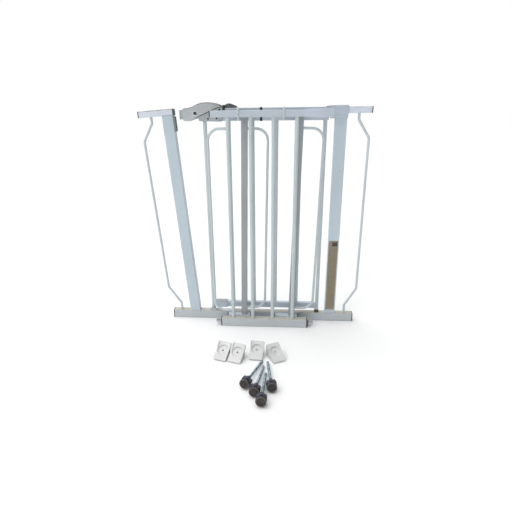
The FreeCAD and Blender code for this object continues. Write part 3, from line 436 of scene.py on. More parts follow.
# Inner arm cap in a greenish grey that paints the shade on the upright's inner side.
BLANK_CAP_SHADED = moulded("blank_cap_grey", rgb(0.10, 0.115, 0.11), 0.42)
COLLAR_DARK = moulded("collar_dark", rgb(0.040, 0.037, 0.045), 0.40)
PEG_NUT_DARK = moulded("peg_nut_dark", rgb(0.15, 0.16, 0.17), 0.36)
KNOB_DARK = moulded("knob_dark", rgb(0.051, 0.051, 0.080), 0.40)
SLIDER_DARK = moulded("slider_dark", rgb(0.040, 0.037, 0.045), 0.38)
GRIP_DARK = moulded("grip_rib_dark", rgb(0.24, 0.23, 0.245), 0.36)
RIVET_DARK = moulded("rivet_dark", rgb(0.006, 0.006, 0.007), 0.46)
SCREW_DARK = moulded("screw_dark", rgb(0.055, 0.062, 0.078), 0.32)
BEZEL_WHITE = moulded("bezel_white", rgb(0.84, 0.88, 0.90), 0.30)
CUP_WHITE = moulded("cup_white", rgb(0.68, 0.68, 0.685), 0.34)
ZINC = zinc_plate()
RUBBER = foot_rubber()
NYLON = clear_nylon()
ELASTIC = band_elastic()
# Rim lighter than the pad: painted highlight along the raised ring.
RIM_HIGHLIGHT_RUBBER = moulded("rim_rubber", rgb(0.115, 0.105, 0.100), 0.46)
LABEL = label_paper()


# --- mesh work ---

def linked(name, data):
    """New object in the scene."""
    made = bpy.data.objects.new(name, data)
    bpy.context.scene.collection.objects.link(made)
    return made


def sealed(mesh, target, scale=1.0):
    """Write a mesh into the target: seams merged, faces outward."""
    work = bmesh.new()
    work.from_mesh(mesh)
    bmesh.ops.remove_doubles(work, verts=work.verts, dist=MERGE)
    bmesh.ops.recalc_face_normals(work, faces=work.faces)
    bmesh.ops.scale(work, vec=(scale, scale, scale), verts=work.verts)
    work.to_mesh(target)
    work.free()
    return target


def finished(name, mesh, material):
    """An object from a mesh in millimetres: smooth but for sharp edges, flats kept flat."""
    clean = sealed(mesh, bpy.data.meshes.new(name), 0.001)
    clean.polygons.foreach_set("use_smooth", [True] * len(clean.polygons))
    clean.set_sharp_from_angle(angle=SHARP)
    clean.materials.append(material)
    rough = linked("work", clean)
    step = rough.modifiers.new("step", "WEIGHTED_NORMAL")
    step.keep_sharp = True
    made = linked(name, evaluated(rough))
    made.data.name = name
    return made


def install(name, mesh, material, body, slot, *nodes):
    """Finish a piece and put it on its body, in place of the plain solids that it stands for."""
    piece = finished(name, mesh, material)
    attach(piece, body)
    if nodes:
        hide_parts(*nodes)
    return piece


def mesh_of(verts, faces):
    mesh = bpy.data.meshes.new("work")
    mesh.from_pydata([tuple(v) for v in verts], [], faces)
    return mesh


def together(*meshes):
    """Several meshes as one, left as separate shells."""
    work = bmesh.new()
    for mesh in meshes:
        work.from_mesh(mesh)
    joined = bpy.data.meshes.new("work")
    work.to_mesh(joined)
    work.free()
    return joined


def placed(mesh, *matrices):
    for matrix in matrices:
        mesh.transform(matrix)
    return mesh


def loft(loops, ring=False):
    """Skin over loops of equal counts, closed at both ends, or from the last loop back to the first."""
    count = len(loops[0])
    verts = [v for loop in loops for v in loop]
    pairs = [(i, i + 1) for i in range(len(loops) - 1)]
    if ring:
        pairs.append((len(loops) - 1, 0))
    faces = []
    for a, b in pairs:
        for i in range(count):
            j = (i + 1) % count
            faces.append((a * count + i, a * count + j, b * count + j, b * count + i))
    if not ring:
        faces.append(tuple(range(count)))
        faces.append(tuple(range(len(verts) - count, len(verts))))
    return mesh_of(verts, faces)


def temporary(mesh):
    return linked("work", sealed(mesh, mesh))


def evaluated(obj):
    """The object's mesh with its modifiers in it; the object is used up."""
    graph = bpy.context.evaluated_depsgraph_get()
    mesh = bpy.data.meshes.new_from_object(obj.evaluated_get(graph), depsgraph=graph)
    bpy.data.objects.remove(obj)
    return mesh


def combined(mesh, operation, others):
    for other in others:
        body, tool = temporary(mesh), temporary(other)
        step = body.modifiers.new("step", "BOOLEAN")
        step.operation, step.solver, step.object = operation, "EXACT", tool
        mesh = evaluated(body)
        bpy.data.objects.remove(tool)
    return mesh


def cut(mesh, *tools):
    return combined(mesh, "DIFFERENCE", tools)


def fused(mesh, *others):
    return combined(mesh, "UNION", others)


def bevelled(mesh, width):
    """Edges over the sharp angle rounded."""
    body = temporary(mesh)
    step = body.modifiers.new("step", "BEVEL")
    step.width, step.segments, step.limit_method, step.angle_limit = width, 2, "ANGLE", SHARP
    return evaluated(body)


def rectangle(x0, x1, y0, y1):
    """Corners of a rectangle, anticlockwise."""
    return [(x0, y0), (x1, y0), (x1, y1), (x0, y1)]


def moved(outline, x, y):
    return [(x + a, y + b) for a, b in outline]


def rounded_rect(width, height, radius):
    """Rectangle with round corners about its centre, anticlockwise."""
    points = []
    for quarter, (sx, sy) in enumerate(((1, 1), (-1, 1), (-1, -1), (1, -1))):
        for i in range(CORNER_STEPS + 1):
            angle = math.pi / 2 * (quarter + i / CORNER_STEPS)
            points.append((sx * (width / 2 - radius) + radius * math.cos(angle),
                           sy * (height / 2 - radius) + radius * math.sin(angle)))
    return points


def circle(radius, count=40):
    return [(radius * math.cos(2 * math.pi * i / count), radius * math.sin(2 * math.pi * i / count))
            for i in range(count)]


def circle_like(outline, radius):
    """Circle with a point on each of the outline's own rays, so that the two can be bridged."""
    return [(radius * x / math.hypot(x, y), radius * y / math.hypot(x, y)) for x, y in outline]


def rounded(points, radii, steps=4):
    """Outline whose corners are arcs; radii is one radius, or one for each corner."""
    radii = radii if isinstance(radii, (list, tuple)) else [radii] * len(points)
    made, count = [], len(points)
    for i, radius in enumerate(radii):
        before, corner, after = (Vector(points[(i + k) % count]) for k in (-1, 0, 1))
        back, on = (before - corner).normalized(), (after - corner).normalized()
        half = back.angle(on) / 2
        if radius <= 0 or half > math.radians(89):
            made.append(tuple(corner))
            continue
        reach = min(radius / math.tan(half), (before - corner).length * 0.48, (after - corner).length * 0.48)
        hub = corner + (back + on).normalized() * (reach / math.cos(half))
        start, end = corner + back * reach - hub, corner + on * reach - hub
        turn = math.atan2(start.x * end.y - start.y * end.x, start.dot(end))
        for k in range(steps + 1):
            c, s = math.cos(turn * k / steps), math.sin(turn * k / steps)
            made.append((hub.x + start.x * c - start.y * s, hub.y + start.x * s + start.y * c))
    return made


def inset(outline, by):
    """The outline moved inwards, corner by corner."""
    count = len(outline)
    area = sum(outline[i - 1][0] * outline[i][1] - outline[i][0] * outline[i - 1][1] for i in range(count))
    side = 1.0 if area > 0 else -1.0
    made = []
    for i in range(count):
        before, point, after = (Vector(outline[(i + k) % count]) for k in (-1, 0, 1))
        first, second = (point - before).normalized(), (after - point).normalized()
        normal = Vector((-first.y - second.y, first.x + second.x)).normalized() * side
        made.append(tuple(point + normal * (by / max(0.4, normal.dot(Vector((-first.y, first.x)) * side)))))
    return made


def raised(outline, place, along):
    """A flat outline as a loop in space, across the named axis."""
    if along == "x":
        return [(place, a, b) for a, b in outline]
    if along == "y":
        return [(a, place, b) for a, b in outline]
    return [(a, b, place) for a, b in outline]


def slab(outline, low, high, along="y", edge=0.0, steps=3):
    """Solid between two levels over an outline, its rims rounded by edge."""
    if not edge:
        return loft([raised(outline, place, along) for place in (low, high)])
    bends = [math.pi / 2 * i / steps for i in range(steps + 1)]
    rims = [(edge * (1 - math.sin(a)), edge * (1 - math.cos(a))) for a in bends]
    loops = [raised(inset(outline, back), low + out, along) for back, out in rims]
    return loft(loops + [raised(inset(outline, back), high - out, along) for back, out in reversed(rims)])


def block(x0, x1, y0, y1, z0, z1, edge=0.0):
    """Box, its corners rounded all round where edge is given."""
    outline = rectangle(x0, x1, y0, y1)
    if not edge:
        return slab(outline, z0, z1, "z")
    return slab(rounded(outline, edge * 1.6, 3), z0, z1, "z", edge, 2)


def hollow(x0, x1, y0, y1, z0, z1, along, wall=TUBE_WALL, corner=TUBE_CORNER, edge=0.25):
    """Rectangular tube with round corners and open ends, filling the box."""
    spans = {"x": (x0, x1), "y": (y0, y1), "z": (z0, z1)}
    low, high = spans.pop(along)
    (a0, a1), (b0, b1) = spans.values()
    width, height, a, b = a1 - a0, b1 - b0, (a0 + a1) / 2, (b0 + b1) / 2

    def section(back, radius):
        return moved(rounded_rect(width - 2 * back, height - 2 * back, radius), a, b)

    outer, trimmed = section(0, corner), section(edge, corner - edge)
    inner = section(wall, max(corner - wall, 0.3))
    return loft([raised(outline, place, along) for outline, place in
                 ((trimmed, low), (outer, low + edge), (outer, high - edge), (trimmed, high),
                  (inner, high), (inner, low))], ring=True)


def tube_in(node, along, **looks):
    """Tube that fills a node's box."""
    low, high = box_of(node)
    return hollow(low.x, high.x, low.y, high.y, low.z, high.z, along, **looks)


def post(x, y, radius, low, high):
    """Plain upright cylinder."""
    return slab(moved(circle(radius), x, y), low, high, "z")


def ring_of(profile, x=0.0, count=40):
    """Upright ring of revolution from (radius, level) pairs."""
    return loft([raised(moved(circle(radius, count), x, 0), z, "z") for radius, z in profile], ring=True)


def turned(profile, start=(0, 0, 0), direction=(0, 0, 1), count=40):
    """Solid of revolution from (radius, distance) pairs, laid from start along a direction."""
    mesh = loft([raised(circle(max(radius, 0.0), count), distance, "z") for radius, distance in profile])
    turn = Vector(direction).to_track_quat("Z", "Y").to_matrix().to_4x4()
    return placed(mesh, Matrix.Translation(start) @ turn)


def rod_between(start, end, radius):
    """Straight round rod with softened ends."""
    length, edge = (Vector(end) - Vector(start)).length, 0.3
    profile = [(radius - edge, 0), (radius, edge), (radius, length - edge), (radius - edge, length)]
    return turned(profile, start, Vector(end) - Vector(start), 32)


def end_cap(face, sign, y, z, depth, height, socket=0.0):
    """Moulded cap in the end of a tube at x = face, with a soft rim, a dished front and its plug."""
    flange = rounded_rect(depth, height, TUBE_CORNER)
    plug = rounded_rect(depth - 2 * (TUBE_WALL + CAP_FIT), height - 2 * (TUBE_WALL + CAP_FIT), 1.0)
    rim, dish, sunk = 1.1, min(depth, height) / 2 - 3.4, CAP_FLANGE - 0.6
    levels = [(-CAP_PLUG, plug), (0, plug), (0, flange), (CAP_FLANGE - rim, flange)]
    levels += [(CAP_FLANGE - rim * (1 - math.sin(a)), inset(flange, rim * (1 - math.cos(a))))
               for a in (math.pi / 6, math.pi / 3, math.pi / 2)]
    levels += [(CAP_FLANGE, circle_like(flange, dish + 0.6)), (sunk, circle_like(flange, dish))]
    if socket:
        levels += [(sunk, circle_like(flange, socket + 0.5)),
                   (CAP_FLANGE - 1.1, circle_like(flange, socket)), (-CAP_PLUG, circle_like(flange, socket))]
    else:
        levels.append((sunk, circle_like(flange, 0.8)))
    return loft([[(face + sign * out, y + a, z + b) for a, b in points] for out, points in levels],
                ring=bool(socket))


# --- Geometry Nodes ---

class Tree(Graph):
    """A Geometry Nodes tree with named inputs, run on a start object and returned as a plain mesh."""

    def __init__(self, name, **inputs):
        super().__init__(bpy.data.node_groups.new(name, "GeometryNodeTree"))
        face = self.tree.interface
        face.new_socket("Geometry", in_out="INPUT", socket_type="NodeSocketGeometry")
        for label, kind in inputs.items():
            face.new_socket(label, in_out="INPUT", socket_type="NodeSocket" + kind)
        face.new_socket("Finish", in_out="INPUT", socket_type="NodeSocketMaterial")
        face.new_socket("Geometry", in_out="OUTPUT", socket_type="NodeSocketGeometry")
        self.given = self.tree.nodes.new("NodeGroupInput").outputs
        self.result = self.tree.nodes.new("NodeGroupOutput").inputs[0]

    def sum(self, a, b):
        return self.add("ShaderNodeMath", (0, a), (1, b), operation="ADD")

    def vector(self, x=0.0, y=0.0, z=0.0):
        return self.add("ShaderNodeCombineXYZ", (0, x), (1, y), (2, z))

    def round_section(self, radius, sides):
        return self.add("GeometryNodeCurvePrimitiveCircle", ("Resolution", sides), ("Radius", radius))

    def swept(self, path, section):
        return self.add("GeometryNodeCurveToMesh", ("Curve", path), ("Profile Curve", section),
                        ("Fill Caps", True))

    def start_point(self):
        """Where the start object's first point is."""
        return self.add("GeometryNodeSampleIndex", ("Geometry", self.given["Geometry"]),
                        ("Value", self.add("GeometryNodeInputPosition")), data_type="FLOAT_VECTOR")

    def close(self, geometry):
        """Realize the instances, set the finish and send the result out."""
        real = self.add("GeometryNodeRealizeInstances", (0, geometry))
        coated = self.add("GeometryNodeSetMaterial", (0, real), ("Material", self.given["Finish"]))
        self.tree.links.new(coated, self.result)
        return self

    def run(self, start, finish, **values):
        """The tree's mesh on a start object, which is used up."""
        step = start.modifiers.new("step", "NODES")
        step.node_group = self.tree
        values["Finish"] = finish
        for item in self.tree.interface.items_tree:
            if item.in_out == "INPUT" and item.name in values:
                step[item.identifier] = values[item.name]
        return evaluated(start)


def path_of(runs, closed=False):
    """Curve object of straight runs through points."""
    curve = bpy.data.curves.new("path", "CURVE")
    curve.dimensions = "3D"
    for points in runs:
        spline = curve.splines.new("POLY")
        spline.points.add(len(points) - 1)
        for place, point in zip(spline.points, points):
            place.co = (*point, 1.0)
        spline.use_cyclic_u = closed
    return linked("path", curve)


def points_of(places):
    return linked("points", mesh_of(places, []))


def bent_rod_tree():
    """Round rod along straight runs whose corners are bent to one radius."""
    tree = Tree("bent_rod", Radius="Float", Bend="Float")
    bent = tree.add("GeometryNodeFilletCurve", ("Curve", tree.given["Geometry"]),
                    ("Radius", tree.given["Bend"]), ("Count", 14), mode="POLY")
    return tree.close(tree.swept(bent, tree.round_section(tree.given["Radius"], 28)))


def bar_row_tree():
    """Row of upright round bars at one pitch, its first bar on the start point."""
    tree = Tree("bar_row", Count="Int", Pitch="Float", Radius="Float", Height="Float")
    row = tree.add("GeometryNodeMeshLine", ("Count", tree.given["Count"]),
                   ("Offset", tree.vector(tree.given["Pitch"])), mode="OFFSET")
    spine = tree.add("GeometryNodeCurvePrimitiveLine", ("End", tree.vector(z=tree.given["Height"])))
    bar = tree.swept(spine, tree.round_section(tree.given["Radius"], 40))
    bars = tree.add("GeometryNodeInstanceOnPoints", ("Points", row), ("Instance", bar))
    return tree.close(tree.add("GeometryNodeTransform", ("Geometry", bars),
                               ("Translation", tree.start_point())))


def weld_tree():
    """Weld bead along closed seams, wandering a little in path."""
    tree = Tree("weld_bead", Radius="Float", Wander="Float")
    dense = tree.add("GeometryNodeResampleCurve", ("Curve", tree.given["Geometry"]), ("Length", 1.7),
                     mode="LENGTH")
    ripple = tree.add("ShaderNodeTexNoise", ("Scale", 0.42), out="Color")
    push = tree.add("ShaderNodeVectorMath", (0, ripple), (1, (0.5, 0.5, 0.5)), operation="SUBTRACT")
    push = tree.add("ShaderNodeVectorMath", (0, push), ("Scale", tree.given["Wander"]), operation="SCALE")
    wandering = tree.add("GeometryNodeSetPosition", ("Geometry", dense), ("Offset", push))
    return tree.close(tree.swept(wandering, tree.round_section(tree.given["Radius"], 8)))


def thread_tree():
    """Rolled thread: a core with a ridge wound up it along +Z."""
    tree = Tree("rolled_thread", Length="Float", Turns="Float", Root="Float", Rise="Float")
    middle = tree.sum(tree.given["Root"], tree.times(tree.given["Rise"], 0.5))
    helix = tree.add("GeometryNodeCurveSpiral", ("Resolution", 20), ("Rotations", tree.given["Turns"]),
                     ("Start Radius", middle), ("End Radius", middle), ("Height", tree.given["Length"]))
    ridge = tree.swept(helix, tree.round_section(tree.times(tree.given["Rise"], 0.5), 4))
    spine = tree.add("GeometryNodeCurvePrimitiveLine", ("End", tree.vector(z=tree.given["Length"])))
    core = tree.swept(spine, tree.round_section(tree.given["Root"], 24))
    both = tree.tree.nodes.new("GeometryNodeJoinGeometry")
    tree.tree.links.new(ridge, both.inputs[0])
    tree.tree.links.new(core, both.inputs[0])
    return tree.close(both.outputs[0])


def spring_tree():
    """Coil spring along +X from the start point."""
    tree = Tree("coil_spring", Length="Float", Turns="Float", Radius="Float", Wire="Float")
    helix = tree.add("GeometryNodeCurveSpiral", ("Resolution", 18), ("Rotations", tree.given["Turns"]),
                     ("Start Radius", tree.given["Radius"]), ("End Radius", tree.given["Radius"]),
                     ("Height", tree.given["Length"]))
    coil = tree.swept(helix, tree.round_section(tree.given["Wire"], 8))
    return tree.close(tree.add("GeometryNodeTransform", ("Geometry", coil),
                               ("Translation", tree.start_point()), ("Rotation", (0.0, math.pi / 2, 0.0))))


def ribs_tree():
    """Round ribs across a path at even steps; slant sets each rib's ends apart along the path."""
    tree = Tree("cross_ribs", Count="Int", Radius="Float", Width="Float", Slant="Float")
    steps = tree.add("GeometryNodeResampleCurve", ("Curve", tree.given["Geometry"]),
                     ("Count", tree.given["Count"]), mode="COUNT")
    half, lean = tree.times(tree.given["Width"], 0.5), tree.times(tree.given["Slant"], 0.5)
    spine = tree.add("GeometryNodeCurvePrimitiveLine",
                     ("Start", tree.vector(tree.times(lean, -1.0), tree.times(half, -1.0))),
                     ("End", tree.vector(lean, half)))
    rib = tree.swept(spine, tree.round_section(tree.given["Radius"], 8))
    return tree.close(tree.add("GeometryNodeInstanceOnPoints", ("Points", steps), ("Instance", rib)))


def heads_tree():
    """Domed rivet heads on points, flattened along Y."""
    tree = Tree("domed_heads", Radius="Float", Rise="Float")
    dome = tree.add("GeometryNodeMeshUVSphere", ("Segments", 24), ("Rings", 12), ("Radius", 1.0))
    size = tree.vector(tree.given["Radius"], tree.given["Rise"], tree.given["Radius"])
    return tree.close(tree.add("GeometryNodeInstanceOnPoints", ("Points", tree.given["Geometry"]),
                               ("Instance", dome), ("Scale", size)))


BENT_ROD = bent_rod_tree()
BAR_ROW = bar_row_tree()
WELD = weld_tree()
THREAD = thread_tree()
SPRING = spring_tree()
RIBS = ribs_tree()
HEADS = heads_tree()


def rod_along(points, bend):
    return BENT_ROD.run(path_of([points]), BAR_COAT, Radius=ROD_RADIUS, Bend=bend)


def ring_seam(x, y, z, radius):
    """Seam round an upright rod or bar."""
    return raised(moved(circle(radius, 24), x, y), z, "z")


def box_seam(low, high, z):
    """Seam round an upright rectangular tube."""
    outline = rounded_rect(high.x - low.x, high.y - low.y, TUBE_CORNER)
    return raised(moved(outline, (low.x + high.x) / 2, (low.y + high.y) / 2), z, "z")


def cross_seam(x, y, z, radius):
    """Seam round a rod that lies along X."""
    return raised(moved(circle(radius, 24), y, z), x, "x")


def welds(*seams):
    return WELD.run(path_of(seams, closed=True), UPRIGHT_COAT, Radius=BEAD, Wander=BEAD_WANDER)


# --- frame ---

def bottom_rail():
    install("bottom_rail_tube", tube_in("frame_bottom_rail", "x"), RAIL_COAT, "frame", "white_powder_coat",
            "frame_bottom_rail")


def above_rail(mesh):
    """What is left above the bottom rail's top."""
    return cut(mesh, block(-END, END, -END, END, -END, RAIL_HIGH.z))


def uprights():
    low, high = UPRIGHT_LOW, UPRIGHT_HIGH
    install("right_upright_tube", tube_in("right_upright", "z"), UPRIGHT_COAT, "frame", "white_powder_coat",
            "right_upright")
    tall = hollow(low.x, high.x, low.y, high.y, low.z - LEAN_SPARE, high.z, "z")
    install("left_upright_tube", above_rail(placed(tall, LEFT_SIDE)), UPRIGHT_COAT, "frame",
            "white_powder_coat", "left_upright")


def arms():
    install("right_arm_tube", tube_in("right_top_arm", "x"), RIGHT_ARM_LIT_COAT, "frame", "white_powder_coat",
            "right_top_arm")
    install("left_arm_tube", placed(tube_in("right_top_arm", "x"), LEFT_SIDE), LEFT_ARM_LIT_COAT, "frame",
            "white_powder_coat", "left_top_arm")


def side_rod_route(spare=0.0):
    top_x, out_x = RAIL_HIGH.x - SIDE_ROD_TOP_INSET, RAIL_HIGH.x + SIDE_ROD_OUT
    foot_x, foot_z = RAIL_HIGH.x - SIDE_ROD_FOOT_INSET, RAIL_HIGH.z
    return [(top_x, 0, ARM_LOW.z), (top_x, 0, ARM_LOW.z - SIDE_ROD_DROP),
            (out_x, 0, ARM_HIGH.z - SIDE_ROD_SHOULDER), (out_x, 0, foot_z + SIDE_ROD_HIP),
            (foot_x, 0, foot_z + SIDE_ROD_ANKLE), (foot_x, 0, foot_z - spare)]


def side_rods():
    install("right_bent_rod", rod_along(side_rod_route(), SIDE_ROD_BEND), BAR_COAT, "frame",
            "white_powder_coat", "right_side_rod")
    left = placed(rod_along(side_rod_route(LEAN_SPARE), SIDE_ROD_BEND), LEFT_SIDE)
    install("left_bent_rod", above_rail(left), BAR_COAT, "frame", "white_powder_coat", "left_side_rod")


def frame_welds():
    """Beads where uprights and rods meet the bottom rail and the arms."""
    top_x, foot_x = side_rod_route()[0][0], side_rod_route()[-1][0]
    foot, under_arm = RAIL_HIGH.z, ARM_LOW.z
    side = [box_seam(UPRIGHT_LOW, UPRIGHT_HIGH, foot), ring_seam(foot_x, 0, foot, ROD_RADIUS),
            ring_seam(top_x, 0, under_arm, ROD_RADIUS), box_seam(UPRIGHT_LOW, UPRIGHT_HIGH, under_arm)]
    left = placed(welds(*side), LEFT_SIDE)
    install("frame_weld_beads", together(welds(*side), left), UPRIGHT_COAT, "frame", "white_powder_coat")


def arm_cap(face, sign, socket=0.0):
    """Cap in an end of the right arm."""
    return end_cap(face, sign, 0, (ARM_LOW.z + ARM_HIGH.z) / 2, 2 * HALF_DEPTH, ARM_HIGH.z - ARM_LOW.z,
                   socket)


def frame_caps():
    depth, height = 2 * HALF_DEPTH, RAIL_HIGH.z
    rail_caps = [end_cap(sign * RAIL_HIGH.x, sign, 0, height / 2, depth, height, SOCKET_RADIUS)
                 for sign in (-1, 1)]
    right_cap = arm_cap(ARM_HIGH.x, 1, SOCKET_RADIUS)
    left_cap = placed(arm_cap(ARM_HIGH.x, 1, SOCKET_RADIUS), LEFT_SIDE)
    caps = together(*rail_caps, right_cap, left_cap)
    install("frame_socket_caps", caps, CAP_DARK, "frame", "dark_plastic", "frame_end_caps")
    install("left_arm_blank_cap", placed(arm_cap(ARM_LOW.x, -1), LEFT_SIDE), BLANK_CAP_SHADED, "frame",
            "dark_plastic", "left_arm_inner_cap")


def keeper():
    """Latch keeper: a folded plate with two locating lips, fixed by two pan-head screws."""
    high, screw_inset = ARM_LOW.z - 2, 12
    low, face, half = high - KEEPER_LENGTH, UPRIGHT_LOW.x - KEEPER_BACK, HALF_DEPTH
    plate = block(face, UPRIGHT_LOW.x, -half, half, low, high)
    lips = [block(face - KEEPER_LIP, face, y, y + KEEPER_LIP_WIDTH, low + 2, high - 2)
            for y in (-half, half - KEEPER_LIP_WIDTH)]
    screws = [turned([(0, 0), (3.2, 0), (3.2, 0.6), (2.4, 1.3), (0, 1.6)], (face, 0, z), (-1, 0, 0), 24)
              for z in (low + screw_inset, high - screw_inset)]
    mesh = together(bevelled(fused(plate, *lips), 0.6), *screws)
    install("latch_keeper_plate", placed(mesh, LEFT_SIDE), KEEPER_SHADED_GREY, "frame", "grey_plastic",
            "latch_keeper")


def hinge_bracket():
    """Hood over the right upright's top: stepped skirt, sloping visor over the door rail's end, tongue."""
    low, high = box_of("hinge_bracket")
    left, right, half, bottom, arm_top = high.x - BRACKET_LENGTH, high.x, high.y, low.z, ARM_HIGH.z
    shell = slab(rounded(rectangle(left, right, -half, half), 3.2), bottom + BRACKET_STEP, high.z, "z", 1.8)
    skirt = slab(rounded(rectangle(left, right - 1, 1 - half, half - 1), 2.6), bottom,
                 bottom + BRACKET_STEP + 4, "z", 0.7)
    tip = UPRIGHT_LOW.x - VISOR_REACH
    visor = slab(rounded([(tip, arm_top + 0.6), (left + 6, arm_top + 0.6), (left + 6, high.z - 0.2),
                          (left - 1, high.z - 0.2), (tip, arm_top + 1.8)], 0.5),
                 2 - half, half - 2, "y", 0.2)
    cheek = block(HINGE_X + 7.0, left + 2, -half, 2.2 - half, arm_top - 17, arm_top + 1.5)
    tongue_z = (DOOR_RAIL_LOW.z + DOOR_RAIL_HIGH.z) / 2
    tongue_low, tongue_high, reach = tongue_z - TONGUE_HALF, tongue_z + TONGUE_HALF, TONGUE_WIDTH / 2
    tongue = block(HINGE_X, left + 2, -reach, reach, tongue_low, tongue_high)
    eye = post(HINGE_X, 0, reach, tongue_low, tongue_high)
    room = HALF_DEPTH + CAP_FIT
    well = block(UPRIGHT_LOW.x - CAP_FIT, UPRIGHT_HIGH.x + CAP_FIT, -room, room, bottom - 5,
                 arm_top + CAP_FIT)
    arm_way = block(UPRIGHT_HIGH.x - 1, right + 5, -room, room, ARM_LOW.z - CAP_FIT, arm_top + CAP_FIT)
    pin_hole = post(HINGE_X, 0, HINGE_PIN_RADIUS, tongue_z - 10, tongue_z + 10)
    mesh = cut(fused(shell, skirt, visor, cheek, tongue, eye), well, arm_way, pin_hole)
    install("hinge_bracket_hood", mesh, HOOD_GREY, "frame", "grey_plastic", "hinge_bracket")


def hinge_foot():
    """Washer under the hinge stile."""
    low, high = box_of("hinge_washer")
    outer, inner, top = (high.x - low.x) / 2, HINGE_PIN_RADIUS + SLIP, high.z - low.z
    ring = ring_of([(inner, 0), (outer, 0), (outer, top - 0.8), (outer - 0.8, top), (inner + 0.4, top),
                    (inner, top - 0.4)])
    install("hinge_foot_washer", placed(ring, Matrix.Translation((HINGE_X, 0, low.z))), CAP_DARK, "frame",
            "dark_plastic", "hinge_washer")


def catch_tray():
    """Tray on the bottom rail that takes the latch stile's foot: floor, front wall and two low sides."""
    low, high = box_of("lower_catch")
    wall, floor_top = 2.2, low.z + 2.0
    tray = block(low.x, high.x, low.y, high.y, low.z, floor_top)
    front = slab(rounded(rectangle(low.x, high.x, low.z, high.z), [0, 0, 3.0, 3.0]), low.y, low.y + wall)
    sides = [slab([(low.y, low.z), (high.y, low.z), (high.y, floor_top + 1.0), (low.y + 4, floor_top + 2.0),
                   (low.y, floor_top + 2.0)], x, x + wall, "x") for x in (low.x, high.x - wall)]
    hole = turned([(1.6, -5), (1.6, 5)], (low.x + 6, (low.y + high.y) / 2 + 2, low.z), (0, 0, 1), 24)
    mesh = bevelled(cut(fused(tray, front, *sides), hole), 0.45)
    install("lower_catch_tray", mesh, FITTING_GREY, "frame", "grey_plastic", "lower_catch")


def label_sheet():
    """Thin printed sheet with a slight ripple."""
    low, high = box_of("frame_label")
    across, up = 8, 54
    thick = high.y - low.y

    def point(i, k, back):
        x = low.x + (high.x - low.x) * i / across
        z = low.z + (high.z - low.z) * k / up
        ripple = 0.035 * math.sin(z * 0.11 + x * 0.5) + 0.025 * math.sin(z * 0.31)
        return (x, high.y - 0.01 if back else low.y + 0.07 + ripple * min(1.0, thick / 0.3), z)

    verts = [point(i, k, back) for back in (False, True) for k in range(up + 1) for i in range(across + 1)]
    row, face = across + 1, (across + 1) * (up + 1)
    faces = []
    for k in range(up):
        for i in range(across):
            a = k * row + i
            faces.append((a, a + 1, a + row + 1, a + row))
            faces.append((face + a, face + a + row, face + a + row + 1, face + a + 1))
    for k in range(up):
        for a in (k * row, k * row + across):
            faces.append((a, a + row, face + a + row, face + a))
    for i in range(across):
        for a in (i, up * row + i):
            faces.append((a, a + 1, face + a + 1, face + a))
    install("blank_label_sheet", mesh_of(verts, faces), LABEL, "frame", "label_sheet", "frame_label")


# --- door ---

def tongue_room():
    """What the hinge tongue sweeps over the door's whole swing."""
    room = TONGUE_HALF + SWING_CLEARANCE
    reach = TONGUE_WIDTH / 2 + SWING_CLEARANCE
    tongue_z = (DOOR_RAIL_LOW.z + DOOR_RAIL_HIGH.z) / 2
    low, high = tongue_z - room, tongue_z + room
    return [post(HINGE_X, 0, reach, low, high), block(HINGE_X, END, -reach, reach, low, high),
            block(HINGE_X - reach, END, 0, END, low, high)]


def split_z(x):
    slope = (SPLIT_END[1] - SPLIT_START[1]) / (SPLIT_END[0] - SPLIT_START[0])
    return SPLIT_START[1] + (x - SPLIT_START[0]) * slope


def door_rail():
    low, high = box_of("door_top_rail")
    start, end, sunk = low.x - STILE_X - 1, SPLIT_END[0] + 9, 3.0
    under_lever = slab([(start, split_z(start) - sunk), (end, split_z(end) - sunk), (end, END),
                        (start, END)], -END, END)
    slider_low, slider_high = box_of("safety_slider")
    half_slot = SLIDER_NECK_HALF + SWING_CLEARANCE
    slot = block(slider_low.x + SLIDER_SLOT_INSET, slider_high.x + SLIDER_TRAVEL - 5, -half_slot, half_slot,
                 high.z - 4, high.z + 1)
    mesh = cut(tube_in("door_top_rail", "x"), placed(under_lever, AT_LATCH), slot, *tongue_room())
    install("door_rail_tube", mesh, KIT_COAT, "door", "white_powder_coat", "door_top_rail")


def rail_plug():
    """Knuckle in the door rail's hinge end."""
    low, high = box_of("door_rail_plug")
    gap = TUBE_WALL + CAP_FIT
    half, face = HALF_DEPTH - gap, HALF_DEPTH - 2
    body = block(low.x, DOOR_RAIL_HIGH.x + 1, -half, half, DOOR_RAIL_LOW.z + gap, DOOR_RAIL_HIGH.z - gap)
    flange = slab(rounded(rectangle(-face, face, low.z, high.z), 2.0), DOOR_RAIL_HIGH.x, high.x, "x", 0.6)
    pin = post(HINGE_X, 0, HINGE_PIN_RADIUS + SLIP, low.z + 2.5, high.z - 2.5)
    install("door_rail_knuckle", cut(fused(body, flange), pin, *tongue_room()), CAP_DARK, "door",
            "dark_plastic", "door_rail_plug")


def stiles():
    for node, name in (("door_latch_stile", "latch_stile_tube"), ("door_hinge_stile", "hinge_stile_tube")):
        low, high = box_of(node)
        bore = BAR_RADIUS - BAR_WALL
        mesh = ring_of([(BAR_RADIUS, low.z), (BAR_RADIUS, high.z), (bore, high.z), (bore, low.z)],
                       (low.x + high.x) / 2)
        install(name, mesh, BAR_COAT, "door", "white_powder_coat", node)


